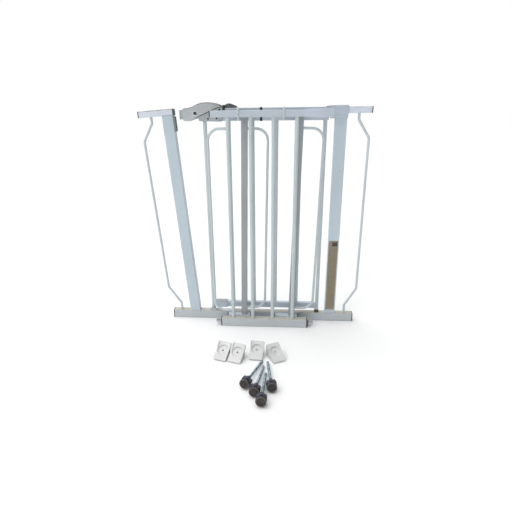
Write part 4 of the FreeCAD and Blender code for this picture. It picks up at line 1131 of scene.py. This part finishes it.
def bar_row(node, y, count):
    """The node's row of bars."""
    low, high = box_of(node)
    pitch = (high.x - low.x - 2 * BAR_RADIUS) / (count - 1)
    start = points_of([(low.x + BAR_RADIUS, y, low.z)])
    row = BAR_ROW.run(start, BAR_COAT, Count=count, Pitch=pitch, Radius=BAR_RADIUS, Height=high.z - low.z)
    seams = [ring_seam(low.x + BAR_RADIUS + pitch * i, y, z, BAR_RADIUS) for i in range(count)
             for z in (low.z, high.z)]
    return row, seams


def door_bars():
    row, seams = bar_row("door_bars", 0, 4)
    install("door_bar_row", row, BAR_COAT, "door", "white_powder_coat", "door_bars")
    seams.append(ring_seam(HINGE_X, 0, DOOR_RAIL_LOW.z, BAR_RADIUS))
    install("door_weld_beads", welds(*seams), BAR_COAT, "door", "white_powder_coat")


def sill():
    scoops = [post(x, 0, BAR_RADIUS, SILL_LOW.z - 5, SILL_HIGH.z + 5) for x in (STILE_X, HINGE_X)]
    tube = hollow(STILE_X, HINGE_X, SILL_LOW.y, SILL_HIGH.y, SILL_LOW.z, SILL_HIGH.z, "x", corner=2.2)
    install("door_sill_tube", cut(tube, *scoops), KIT_COAT, "door", "white_powder_coat", "door_bottom_rail")


def stop_sleeve():
    mesh = tube_in("door_stop_sleeve", "x", wall=2.3, corner=3.0, edge=0.9)
    install("door_stop_sleeve_moulding", mesh, FITTING_GREY, "door", "grey_plastic", "door_stop_sleeve")


def bush(node, name, bore, finish, slot):
    """Flanged bush in a stile's foot."""
    low, high = box_of(node)
    flange, x = (high.x - low.x) / 2, (low.x + high.x) / 2
    top, body = box_of("door_latch_stile")[0].z, BAR_RADIUS - BAR_WALL - SLIP
    rings = [(bore + 0.4, low.z), (flange - 0.6, low.z), (flange, low.z + 0.6), (flange, top - 0.4),
             (flange - 0.4, top), (body, top), (body, high.z), (bore, high.z), (bore, low.z + 0.4)]
    install(name, ring_of(rings, x), finish, "door", slot, node)


def foot_bushes():
    bush("lift_rod_guide", "lift_rod_bush", LIFT_ROD_RADIUS + SLIP, FITTING_GREY, "grey_plastic")
    bush("hinge_bush", "hinge_stile_bush", HINGE_PIN_RADIUS + SLIP, CAP_DARK, "dark_plastic")


def elastic_band():
    """Band round the door rail: two soft edges and a slightly full middle."""
    low, high = box_of("door_rail_band")
    wall, corner, z = 1.2, 3.6, (low.z + high.z) / 2
    width, height = high.y - low.y, high.z - low.z

    def loop(x, back):
        outline = rounded_rect(width - 2 * back, height - 2 * back, corner - back)
        return raised(moved(outline, 0, z), x, "x")

    steps = [(low.x, 0.8), (low.x + 0.5, 0.25), (low.x + 2.0, 0.05), ((low.x + high.x) / 2, 0.0),
             (high.x - 2.0, 0.05), (high.x - 0.5, 0.25), (high.x, 0.8), (high.x, wall), (low.x, wall)]
    install("rail_elastic_band", loft([loop(*step) for step in steps], ring=True), ELASTIC, "door",
            "dark_plastic", "door_rail_band")


# --- latch: drawn from the latch stile's axis and the door rail's top ---

def cross_bore(x, z, radius):
    """Cutter along Y, right through the gate."""
    return turned([(radius, -END), (radius, END)], (x, 0, z), (0, 1, 0), 40)


def latch_base():
    """Lower shell: clasps the rail's end and the stile's top, with the pivot lug."""
    bottom, left = DOOR_RAIL_LOW.z - DOOR_RAIL_HIGH.z, SPLIT_START[0] + 4.0
    right = box_of("latch_base")[1].x - STILE_X
    body = slab(rounded([(left, split_z(left)), SPLIT_END, (right, 2.5), (right, bottom + 9),
                         (55, bottom - 2), (-16, bottom)], [1.0, 4.0, 1.0, 5.0, 5.0, 3.0]),
                -LATCH_HALF, LATCH_HALF, "y", 1.3)
    x, z = PIVOT
    lug = slab(rounded([(x - 11, z - 8), (x - 11, z + 6), (x - 5, z + 10), (x + 9, z + 10), (x + 15, z + 4),
                        (x + 19, z - 11), (x + 3, z - 17)], 3.0), -8.0, 8.0)
    reach, rail_start = HALF_DEPTH + SLIP, DOOR_RAIL_LOW.x - STILE_X - 0.3
    channel = block(rail_start, END, -reach, reach, bottom - SLIP, SLIP)
    stile_top = box_of("door_latch_stile")[1].z - DOOR_RAIL_HIGH.z
    seat = post(0, 0, BAR_RADIUS + SLIP, -END, stile_top + SLIP)
    head_room = post(0, 0, 5.5, stile_top - 7, END)
    mesh = cut(fused(body, lug), channel, seat, head_room, cross_bore(x, z, PIVOT_RADIUS))
    install("latch_base_shell", placed(mesh, AT_LATCH), LATCH_GREY, "door", "grey_plastic", "latch_base")


def rivet_heads():
    faces = [(x, sign * LATCH_HALF, z) for x, z in RIVETS for sign in (-1, 1)]
    mesh = HEADS.run(points_of(faces), RIVET_DARK, Radius=RIVET_RADIUS, Rise=RIVET_RISE)
    install("latch_rivet_heads", placed(mesh, AT_LATCH), RIVET_DARK, "door", "dark_plastic", "latch_rivets")


def lever():
    """Arched hollow lever, open below, with the two fingers that lift the rod's head."""
    (x0, z0), (x1, z1) = SPLIT_START, SPLIT_END
    under = ((61.0, z1 + 1.5 + SPLIT_GAP), (x1, z1 + SPLIT_GAP), (x0, z0 + SPLIT_GAP), (x0 - 7.0, z0 - 3.5),
             (x0 - 23.0, z0 - 9.5), (x0 - 37.0, z0 - 11.5), (x0 - 46.0, z0 - 9.5))
    radii = [3.0, 40.0, 45.0, 40.0, 60.0, 90.0, 50.0, 2.5, 0.6, 3.0, 8.0, 12.0, 30.0, 20.0, 4.0]
    body = slab(rounded(list(LEVER_BACK + under), radii, 5), -LATCH_HALF, LATCH_HALF, "y", 2.6, 4)
    end_wall, half = 4.0, LATCH_HALF - LATCH_WALL
    roof = [(x - (end_wall if x >= x1 else 0.0), z - LATCH_WALL) for x, z in LEVER_BACK]
    below = [(57, -22), (37, -27), (-43, -62), (-83, -62), (-83, -4)]
    hollow_part = slab(roof + below, -half, half)
    z = box_of("lift_rod")[1].z - DOOR_RAIL_HIGH.z - ROD_HEAD - 2.3
    fingers = [rod_between((0, sign * 3.0, z), (0, sign * (half + 0.6), z), 2.0) for sign in (-1, 1)]
    mesh = cut(body, hollow_part, cross_bore(*PIVOT, PIVOT_RADIUS + SLIP))
    install("latch_lever_shell", placed(together(mesh, *fingers), AT_LATCH), LEVER_GREY, "lever",
            "grey_plastic", "latch_lever")


def jaw():
    """Forked nose inside the lever; its rear prong reaches further."""
    low, high, nose, half = -34.0, -5.0, -68.0, LATCH_HALF - LATCH_WALL
    fork = rounded([(nose + 17, -half), (nose + 17, half), (nose - 17, half), (nose - 17, half - 9),
                    (nose, half - 9), (nose, 4 - half), (nose - 8, 4 - half), (nose - 8, -half)],
                   [0.5, 0.5, 2.2, 2.2, 2.0, 1.2, 1.4, 1.4])
    pocket = block(nose + 6, nose + 14, 4 - half, half - 4, low - 8, high - 5)
    mesh = cut(slab(fork, low, high, "z", 1.0), pocket)
    install("latch_jaw_fork", placed(mesh, AT_LATCH), JAW_GREY, "lever", "grey_plastic", "latch_jaw")


def pivot_screw():
    """Domed screw with a hexagon socket, a plain nut head behind, and the bezel under each."""
    x, z = PIVOT
    seat, rise = LATCH_HALF + 1.8, 2.2
    head = [(4.9, 0), (5.6, 0.5), (5.6, 1.1), (5.0, 1.7), (3.7, rise), (0, rise)]
    hexagon = [(2.6 * math.cos(math.pi / 3 * i), 2.6 * math.sin(math.pi / 3 * i)) for i in range(6)]
    front = turned([(0, 0)] + head, (x, -seat, z), (0, -1, 0))
    socket = placed(slab(hexagon, -1.6, 3.0, "z"),
                    Matrix.Translation((x, -seat - rise, z)) @ Matrix.Rotation(math.pi / 2, 4, "X"))
    back = turned([(0, 0)] + head, (x, seat, z), (0, 1, 0))
    shank = rod_between((x, -seat - 0.2, z), (x, seat + 0.2, z), PIVOT_RADIUS)
    mesh = together(cut(front, socket), shank, back)
    install("lever_pivot_screw", placed(mesh, AT_LATCH), SCREW_DARK, "door", "zinc_steel", "lever_screw")
    near, outer, inner = LATCH_HALF + 0.2, 8.2, PIVOT_RADIUS + SLIP
    rings = [(inner, 0), (outer, 0), (outer, 0.7), (outer - 0.8, 1.5), (6.2, 1.5), (5.9, 1.2), (inner, 1.2)]
    bezels = [placed(ring_of(rings), Matrix.Translation((x, sign * near, z))
                     @ Matrix.Rotation(-sign * math.pi / 2, 4, "X")) for sign in (-1, 1)]
    install("lever_bezel_rings", placed(together(*bezels), AT_LATCH), BEZEL_WHITE, "door", "grey_plastic",
            "lever_washers")


def collar():
    """Dark saddle on the rail where the latch ends."""
    low, high = box_of("latch_collar")
    reach = HALF_DEPTH + SLIP
    top = DOOR_RAIL_HIGH.z + SLIP
    saddle = rounded([(low.y, low.z), (-reach, low.z), (-reach, top), (reach, top), (reach, low.z),
                      (high.y, low.z), (high.y, high.z), (low.y, high.z)],
                     [0.8, 0.8, 0, 0, 0.8, 0.8, 4.0, 4.0])
    install("latch_end_collar", slab(saddle, low.x, high.x, "x", 0.6), COLLAR_DARK, "door", "dark_plastic",
            "latch_collar")


def slider():
    """Thumb slider: humped cap with slanting grip ribs, on a neck and a foot in the rail's slot."""
    low, high = box_of("safety_slider")
    top, half, peak, slope_start = DOOR_RAIL_HIGH.z, high.y, 10.0, 17.0
    left, right, low_z = low.x, high.x, DOOR_RAIL_HIGH.z + 0.2
    hump = [(left, low_z), (left, top + 8.5), (left + peak, top + 13.6), (left + slope_start, top + 13.2),
            (right - 2, top + 3.5), (right, low_z)]
    outline, sunk = rounded(hump, [0.6, 3.0, 8.0, 10.0, 2.0, 0.6]), 0.7
    cap = slab(outline, sunk - half, half - sunk, "y", 1.5)
    foot_half = SLIDER_NECK_HALF + 4
    neck = block(left + 7, right - 6, -SLIDER_NECK_HALF, SLIDER_NECK_HALF, top - 3, low_z + 0.3)
    foot = block(left + 7, right - 6, -foot_half, foot_half, top - 8, top - TUBE_WALL - 0.3)
    route = [(left + 4, 0, top + 10.2), (left + peak, 0, top + 12.9), (left + slope_start, 0, top + 12.5),
             (right - 6, 0, top + 5.4)]
    ribs = RIBS.run(path_of([route]), GRIP_DARK, Count=9, Radius=0.75, Width=2 * half - 4.0, Slant=5.0)
    rise, shift, rib_width, pitch = 16.0, 7.0, 2.4, 5.6
    starts = [left + 3.0 + pitch * i for i in range(7)]
    bars = [slab([(x, low_z), (x + rib_width, low_z), (x + rib_width - shift, low_z + rise),
                  (x - shift, low_z + rise)], -half, half) for x in starts]
    grip = slab(inset(rounded(hump, [2.5, 4.0, 9.0, 11.0, 2.5, 1.6]), 0.9), -half, half)
    grip = cut(together(*[combined(grip, "INTERSECT", [bar]) for bar in bars]),
               block(-END, END, 1.2 - half, half - 1.2, 0, END))
    install("safety_slider_thumbpiece", together(cap, neck, foot), SLIDER_DARK, "slider", "dark_plastic",
            "safety_slider")
    install("safety_slider_grip_ribs", together(grip, ribs), GRIP_DARK, "slider", "dark_plastic")


def return_spring():
    """Coil between the slider's foot and its stop."""
    low, high = box_of("slider_spring")
    z, radius = (low.z + high.z) / 2, (high.z - low.z) / 2
    length = high.x - low.x
    mesh = SPRING.run(points_of([(low.x, 0, z)]), ZINC, Length=length, Turns=14.0,
                      Radius=radius - SPRING_WIRE / 2, Wire=SPRING_WIRE / 2)
    spring = install("slider_return_spring", mesh, ZINC, "door", "zinc_steel", "slider_spring")
    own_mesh(spring)
    low, high = box_of("spring_stop")
    x = (low.x + high.x) / 2
    pin = rod_between((x, 0, low.z), (x, 0, high.z), (high.x - low.x) / 2)
    install("spring_stop_pin", pin, ZINC, "door", "zinc_steel", "spring_stop")


def lift_rod():
    low, high = box_of("lift_rod")
    head, shank, length = (high.x - low.x) / 2, LIFT_ROD_RADIUS, high.z - low.z
    under = length - ROD_HEAD
    profile = [(0, 0), (shank - 1.2, 0), (shank, 2.0), (shank, under), (head - 0.5, under),
               (head, under + 0.5), (head, length - 0.8), (head - 0.8, length), (0, length)]
    install("lift_rod_pin", turned(profile, (STILE_X, 0, low.z)), ZINC, "lift_rod", "zinc_steel", "lift_rod")


# --- extension kit ---

def end_rod_route(x, y, sign):
    out, high, low = x + sign * END_ROD_REACH, KIT_TOP - END_ROD_DROP, RAIL_HIGH.z + END_ROD_RISE
    return [(x, y, high), (out, y, high), (out, y, low), (x, y, low)]


def wide_panel():
    install("wide_panel_bottom_tube", tube_in("wide_extension_bottom_rail", "x"), RAIL_COAT, "frame",
            "white_powder_coat", "wide_extension_bottom_rail")
    install("wide_panel_top_tube", tube_in("wide_extension_top_rail", "x"), KIT_COAT, "frame",
            "white_powder_coat", "wide_extension_top_rail")
    row, seams = bar_row("wide_extension_bars", PANEL_Y, 4)
    install("wide_panel_bar_row", row, BAR_COAT, "frame", "white_powder_coat", "wide_extension_bars")
    x = box_of("wide_extension_bars")[0].x + BAR_RADIUS
    route = end_rod_route(x, PANEL_Y, -1)
    scoop = post(x, PANEL_Y, BAR_RADIUS - 0.2, 0, KIT_TOP)
    install("wide_panel_end_bow", cut(rod_along(route, END_ROD_BEND), scoop), BAR_COAT, "frame",
            "white_powder_coat", "wide_extension_end_rod")
    seams += [cross_seam(x - BAR_RADIUS + 0.2, PANEL_Y, z, ROD_RADIUS) for z in (route[0][2], route[-1][2])]
    install("wide_panel_weld_beads", welds(*seams), BAR_COAT, "frame", "white_powder_coat")


def narrow_panels():
    """The two one-post extensions, each leaning at its own angle."""
    half_post = 10.5
    x0, x1 = NARROW_STUB
    front, back = NARROW_Y - HALF_ARM, NARROW_Y + HALF_ARM
    route = end_rod_route(half_post, NARROW_Y, 1)
    corners = Vector((-half_post, front, 0)), Vector((half_post, back, 0))
    for index in (0, 1):
        tilt, node = tilt_matrix(index), f"narrow_extension_{index + 1}"
        flat_post = hollow(-half_post, half_post, front, back, RAIL_HIGH.z, KIT_TOP_LOW, "z")
        foot = hollow(x0, x1, NARROW_Y - HALF_DEPTH, NARROW_Y + HALF_DEPTH, 0, RAIL_HIGH.z, "x")
        head = hollow(x0, x1, front, back, KIT_TOP_LOW, KIT_TOP, "x")
        beads = welds(box_seam(*corners, RAIL_HIGH.z), box_seam(*corners, KIT_TOP_LOW),
                      *[cross_seam(half_post, NARROW_Y, z, ROD_RADIUS) for z in (route[0][2], route[-1][2])])
        for name, mesh, finish, parts in (
                ("post_tube", flat_post, POST_SHADED_COAT, ["_post"]),
                ("stub_tubes", together(foot, head), KIT_COAT, ["_rails"]),
                ("end_bow", rod_along(route, END_ROD_BEND), BAR_COAT, ["_rod"]),
                ("weld_beads", beads, BAR_COAT, [])):
            install(f"narrow_panel_{index + 1}_{name}", placed(mesh, tilt), finish, "frame",
                    "white_powder_coat", *[node + part for part in parts])


def kit_caps():
    depth, arm = 2 * HALF_DEPTH, 2 * HALF_ARM
    foot_z, head_z = RAIL_HIGH.z / 2, KIT_TOP - HALF_ARM
    caps = [end_cap(x, sign, PANEL_Y, foot_z, depth, RAIL_HIGH.z)
            for x, sign in ((PANEL_LOW.x, -1), (PANEL_HIGH.x, 1))]
    caps.append(end_cap(PANEL_TOP_LOW.x, -1, PANEL_Y, head_z, arm, arm))
    for index in (0, 1):
        for x, sign in zip(NARROW_STUB, (-1, 1)):
            caps.append(placed(end_cap(x, sign, NARROW_Y, foot_z, depth, RAIL_HIGH.z), tilt_matrix(index)))
            caps.append(placed(end_cap(x, sign, NARROW_Y, head_z, arm, arm), tilt_matrix(index)))
    install("extension_tube_caps", together(*caps), CAP_DARK, "frame", "dark_plastic", "extension_end_caps")


def joining_sleeve():
    low, high = box_of("extension_sleeve")
    outline = rounded(rectangle(low.x, high.x, low.z, high.z), [6.0, 1.0, 1.0, 6.0])
    mesh = combined(tube_in("extension_sleeve", "x", wall=2.0, corner=2.8, edge=0.7), "INTERSECT",
                    [slab(outline, -END, END)])
    install("joining_sleeve", mesh, SLEEVE_GREY, "frame", "grey_plastic", "extension_sleeve")


def joining_pegs():
    """Round pegs out of the wide panel's bottom rail, and the nut on the right one."""
    low, high = box_of("extension_pegs")
    radius, z, pegs = (high.z - low.z) / 2, (low.z + high.z) / 2, []
    for face, tip in ((PANEL_LOW.x - CAP_FLANGE + 0.6, low.x), (PANEL_HIGH.x + CAP_FLANGE - 0.6, high.x)):
        length = abs(tip - face)
        profile = [(0, 0), (radius, 0), (radius, length * 0.35), (radius - 0.5, length * 0.38),
                   (radius - 0.5, length * 0.44), (radius, length * 0.47), (radius, length - 1.8),
                   (radius - 0.6, length - 0.5), (radius - 1.8, length), (2.2, length), (1.8, length - 1.4),
                   (0, length - 1.4)]
        pegs.append(turned(profile, (face, PANEL_Y, z), (tip - face, 0, 0)))
    install("joining_peg_pair", together(*pegs), FITTING_GREY, "frame", "grey_plastic", "extension_pegs")
    low, high = box_of("extension_peg_nut")
    outer, thick = (high.z - low.z) / 2, high.x - low.x
    outline = [(outer * (1 - 0.05 * (i % 2)) * math.cos(math.pi * i / 20),
                outer * (1 - 0.05 * (i % 2)) * math.sin(math.pi * i / 20)) for i in range(40)]
    soft, bore = inset(outline, 0.5), circle_like(outline, radius + SLIP)
    loops = [(0, soft), (0.5, outline), (thick - 0.5, outline), (thick, soft), (thick, bore), (0, bore)]
    ring = loft([raised(moved(points, PANEL_Y, z), low.x + out, "x") for out, points in loops], ring=True)
    install("peg_locking_nut", ring, PEG_NUT_DARK, "frame", "dark_plastic", "extension_peg_nut")


def cable_ties():
    """Two nylon ties: strap round the bundle, ratchet head at the top front, toothed tail below."""
    low, high = box_of("cable_ties")
    front, back = PANEL_Y - HALF_ARM - 0.3, NARROW_Y + HALF_ARM + 0.3
    under, over, half = KIT_TOP_LOW - 4.0, KIT_TOP + 3.2, TIE_WIDTH / 2
    ties = []
    for x in TIE_X:
        strap = hollow(x - half, x + half, front - TIE_THICK, back + TIE_THICK, under - TIE_THICK,
                       over + TIE_THICK, "x", TIE_THICK, 3.0, 0.3)
        head = block(x - 3.6, x + 3.6, low.y, low.y + 5.6, high.z - 6.0, high.z, 0.7)
        window = block(x - half + 0.6, x + half - 0.6, low.y + 1.3, low.y + 3.1, high.z - 9.0, high.z + 3.0)
        tail_y, taper, tip = front - 2.7, low.z + 2.4, 0.9
        tail = slab(rounded([(x - half, over), (x + half, over), (x + half, taper), (x + tip, low.z),
                             (x - tip, low.z), (x - half, taper)], 0.4), tail_y, tail_y + 1.2, "y", 0.25)
        route = [(x, tail_y + 0.05, over - 3.0), (x, tail_y + 0.05, low.z + 3.5)]
        teeth = RIBS.run(path_of([route]), NYLON, Count=16, Radius=0.32, Width=0.01, Slant=3.0)
        ties += [strap, cut(head, window), tail, teeth]
    install("cable_tie_pair", together(*ties), NYLON, "frame", "clear_nylon", "cable_ties")


# --- loose hardware ---

def wall_cup(place):
    """Cup plate lying face up with a dished socket, propped at its far end by a web and a leg."""
    x, y, angle = place
    width, length, thick = CUP
    half, tilt, centre_y = width / 2, math.radians(CUP_TILT), length * CUP_SOCKET_PLACE
    plate = slab(rounded(rectangle(-half, half, 0, length), 4.5, 6), 0, thick, "z", 1.2)
    bed, socket = thick - CUP_SOCKET_DEPTH, CUP_SOCKET_RADIUS
    dish = turned([(0, bed), (socket - 2.4, bed), (socket - 1.2, bed + 0.5), (socket - 0.4, bed + 1.8),
                   (socket, thick - 1.0), (socket + 1.0, thick), (socket + 1.0, thick + 4), (0, thick + 4)],
                  (0, centre_y, 0), (0, 0, 1), 56)
    bore, head = CUP_HOLE_RADIUS, CUP_HOLE_RADIUS + 1.6
    hole = turned([(bore, -4), (bore, bed - 1.2), (head, bed + 0.5), (head, thick)], (0, centre_y, 0),
                  (0, 0, 1), 32)
    plate = placed(cut(plate, dish, hole), Matrix.Rotation(tilt, 4, "X"))
    far_y, far_z = length * math.cos(tilt), length * math.sin(tilt)
    side = rounded([(8, 0), (far_y - 4, 0), (far_y - 4, far_z + 8), (far_y - 16, far_z + 4), (8, 5)],
                   [0.8, 0.8, 2.0, 3.0, 1.0])
    web = slab(side, -half, -half + CUP_WEB, "x", 0.5)
    back = far_y - 4
    leg = slab(rounded(rectangle(-half, half - 6, 0, far_z - 1), 0.8), back - CUP_WEB, back, "y", 0.5)
    turn = Matrix.Translation((x, y, 0)) @ Matrix.Rotation(math.radians(angle), 4, "Z")
    return placed(fused(plate, web, leg), turn)


def cups():
    install("wall_cup_set", together(*[wall_cup(place) for place in CUP_PLACES]), CUP_WHITE, "frame",
            "white_plastic", "wall_cups")


def lay_matrix(place):
    """Takes a spindle drawn up +Z, from its foot's face, to where it lies with its tip on the floor."""
    (fx, fy), (tx, ty) = place
    nut_end = FOOT_THICK + NUT_GAP + NUT_THICK
    slope = math.asin((NUT_RADIUS - SPINDLE_RADIUS) / (SPINDLE_LENGTH - nut_end))
    flat = Vector((tx - fx, ty - fy, 0)).normalized()
    direction = flat * math.cos(slope) - Vector((0, 0, math.sin(slope)))
    height = SPINDLE_RADIUS + FLOOR_GAP + SPINDLE_LENGTH * math.sin(slope)
    turn = Vector((0, 0, 1)).rotation_difference(direction).to_matrix().to_4x4()
    return Matrix.Translation((fx, fy, height)) @ turn


def spindle_rod(place):
    """Rolled thread from inside the foot to a plain chamfered tip."""
    start, tip = FOOT_THICK - FOOT_GRIP, 4.0
    length, rise = SPINDLE_LENGTH - start - tip, 0.66
    thread = THREAD.run(points_of([(0, 0, 0)]), ZINC, Length=length, Turns=length / THREAD_PITCH,
                        Root=SPINDLE_RADIUS - rise, Rise=rise)
    end = turned([(0, -1), (SPINDLE_RADIUS - rise, -1), (SPINDLE_RADIUS - rise, tip - 0.8),
                  (SPINDLE_RADIUS - 1.4, tip), (0, tip)], (0, 0, length), (0, 0, 1), 24)
    return placed(together(thread, end), Matrix.Translation((0, 0, start)), lay_matrix(place))


def spindle_foot(place):
    """Rubber pad: dished face with a grip groove inside its rim, and a smaller back."""
    rim, step, bore = FOOT_RADIUS, FOOT_THICK - FOOT_STEP, SPINDLE_RADIUS + SLIP
    back = rim - FOOT_STEP
    profile = [(0, 1.6), (3.0, 1.6), (4.2, 0.8), (9.0, 0.8), (9.8, 2.0), (10.8, 2.0), (11.3, 0.5),
               (rim - 1.2, 0.4), (rim - 0.35, 0.6), (rim, 1.3), (rim, step - 0.8), (rim - 0.8, step),
               (back + 0.3, step), (back, step + 0.3), (back, FOOT_THICK - 0.6), (back - 0.6, FOOT_THICK),
               (bore, FOOT_THICK), (bore, FOOT_THICK - FOOT_GRIP), (0, FOOT_THICK - FOOT_GRIP)]
    return placed(turned(profile, count=64), lay_matrix(place))


def foot_rim(place):
    """Raised ring round the pad's face, in a lighter rubber that paints a highlight along the rim."""
    out = FOOT_RADIUS - 0.4
    rings = [(11.6, 0.2), (12.2, 0), (out - 0.5, 0), (out, 0.4), (out, 0.9), (11.6, 0.9)]
    return placed(ring_of(rings, count=64), lay_matrix(place))


def nut_outline():
    """Round nut scalloped between its lobes."""
    reach, points = NUT_RADIUS + LOBE_CUT_OUT, []
    steps = 16 * NUT_LOBES
    for i in range(steps):
        turn = 2 * math.pi * i / steps
        off = (turn + math.pi / NUT_LOBES) % (2 * math.pi / NUT_LOBES) - math.pi / NUT_LOBES
        side = LOBE_CUT ** 2 - (reach * math.sin(off)) ** 2
        radius = min(NUT_RADIUS, reach * math.cos(off) - math.sqrt(side)) if side > 0 else NUT_RADIUS
        points.append((radius * math.cos(turn), radius * math.sin(turn)))
    return points


def thumb_nut(place):
    """Lobed nut with soft rims, a shallow dish in each face and its bore."""
    low, high, bore = FOOT_THICK + NUT_GAP, FOOT_THICK + NUT_GAP + NUT_THICK, SPINDLE_RADIUS + SLIP
    outline, edge = nut_outline(), 1.4
    dish_low, dish_high = low + 1.0, high - 1.0
    loops = [(dish_low, circle_like(outline, 7.0)), (low, circle_like(outline, 8.6)),
             (low, inset(outline, edge)), (low + 0.4, inset(outline, 0.4)), (low + edge, outline),
             (high - edge, outline), (high - 0.4, inset(outline, 0.4)), (high, inset(outline, edge)),
             (high, circle_like(outline, 8.6)), (dish_high, circle_like(outline, 7.0)),
             (dish_high, circle_like(outline, bore)), (dish_low, circle_like(outline, bore))]
    return placed(loft([raised(points, z, "z") for z, points in loops], ring=True), lay_matrix(place))


def spindles():
    for name, make, finish, slot, nodes in (
            ("spindle_thread_rods", spindle_rod, ZINC, "zinc_steel", ["spindle_rods"]),
            ("spindle_foot_pads", spindle_foot, RUBBER, "dark_rubber", ["spindle_feet"]),
            ("spindle_foot_rims", foot_rim, RIM_HIGHLIGHT_RUBBER, "dark_rubber", [])):
        install(name, together(*[make(place) for place in SPINDLE_PLACES]), finish, "frame", slot, *nodes)
    for index, place in enumerate(SPINDLE_PLACES):
        number = index + 1
        install(f"lobed_nut_{number}", thumb_nut(place), KNOB_DARK, f"nut_{number}", "knob_plastic",
                f"thumb_nut_{number}")


def hinge_pins():
    """The solids' own pins stay, in zinc."""
    for name in ("top_hinge_pin", "bottom_hinge_pin"):
        pin = frame["nodes"][name]
        pin.data.materials.clear()
        pin.data.materials.append(ZINC)


for build in (bottom_rail, uprights, arms, side_rods, frame_welds, frame_caps, keeper, hinge_bracket,
              hinge_foot, catch_tray, label_sheet, hinge_pins,
              door_rail, rail_plug, stiles, door_bars, sill, stop_sleeve, foot_bushes, elastic_band,
              latch_base, rivet_heads, lever, jaw, pivot_screw, collar, slider, return_spring, lift_rod,
              wide_panel, narrow_panels, kit_caps, joining_sleeve, joining_pegs, cable_ties,
              cups, spindles):
    build()


# --- floor, light and camera ---

def floor():
    mesh = bpy.data.meshes.new("studio_floor")
    reach = 30.0             # metres
    mesh.from_pydata(raised(rectangle(-reach, reach, -reach, reach), 0, "z"), [], [(0, 1, 2, 3)])
    sheet = Finish("studio_floor", Roughness=0.9)
    sheet.colour(sheet.mix(sheet.noise(0.6), rgb(0.90, 0.90, 0.90), rgb(0.92, 0.92, 0.92)))
    mesh.materials.append(sheet.material)
    made = linked("studio_floor", mesh)


def sky():
    """White room, dimmer in front and on the right so that round bars show their form."""
    world = bpy.data.worlds.new("studio")
    world.use_nodes = True
    tree = world.node_tree
    background = tree.nodes["Background"]
    place = tree.nodes.new("ShaderNodeTexCoord")
    split = tree.nodes.new("ShaderNodeSeparateXYZ")
    tree.links.new(place.outputs["Generated"], split.inputs[0])

    def fade(axis, start, end, low, high):
        node = tree.nodes.new("ShaderNodeMapRange")
        node.interpolation_type = "SMOOTHSTEP"
        for name, value in (("From Min", start), ("From Max", end), ("To Min", low), ("To Max", high)):
            node.inputs[name].default_value = value
        tree.links.new(split.outputs[axis], node.inputs["Value"])
        return node.outputs["Result"]

    both = tree.nodes.new("ShaderNodeMath")
    both.operation = "MULTIPLY"
    tree.links.new(fade("Y", -0.8, 0.4, 0.54, 1.12), both.inputs[0])
    tree.links.new(fade("X", -0.3, 0.75, 1.12, 0.3), both.inputs[1])
    seen = tree.nodes.new("ShaderNodeLightPath")
    choose = tree.nodes.new("ShaderNodeMix")
    tree.links.new(seen.outputs["Is Camera Ray"], choose.inputs[0])
    tree.links.new(both.outputs[0], choose.inputs[2])
    choose.inputs[3].default_value = 1.0
    tree.links.new(choose.outputs[0], background.inputs["Strength"])
    background.inputs["Color"].default_value = (1.0, 1.0, 1.0, 1.0)
    bpy.context.scene.world = world


def lamp(name, kind, place, target, power, **shape):
    data = bpy.data.lights.new(name, kind)
    data.energy = power
    for key, value in shape.items():
        setattr(data, key, value)
    made = linked(name, data)
    made.location = place
    made.rotation_euler = (Vector(target) - Vector(place)).to_track_quat("-Z", "Y").to_euler()


def camera():
    data = bpy.data.cameras.new("camera")
    data.lens, data.sensor_width = 26.65, 36.0
    made = linked("camera", data)
    yaw, pitch, roll = math.radians(-3.9), math.radians(19.0), math.radians(-0.5)
    forward = Vector((math.sin(yaw) * math.cos(pitch), math.cos(yaw) * math.cos(pitch), -math.sin(pitch)))
    right = Vector((math.cos(yaw), -math.sin(yaw), 0))
    up = right.cross(forward)
    across = right * math.cos(roll) + up * math.sin(roll)
    axes = Matrix((across, across.cross(forward), -forward)).transposed()
    made.matrix_world = Matrix.Translation((0.0685, -1.3157, 0.7071)) @ axes.to_4x4()
    bpy.context.scene.camera = made


floor()
sky()
lamp("overhead", "SUN", (-0.6, -0.4, 3.0), (0.0, 0.0, 0.0), 1.35, angle=math.radians(70))
lamp("key", "AREA", (-1.5, -1.9, 1.9), (0.0, 0.0, 0.4), 7.0, shape="DISK", size=0.9, color=(1.0, 0.98, 0.95))
camera()
bpy.context.scene.view_settings.view_transform = "Standard"
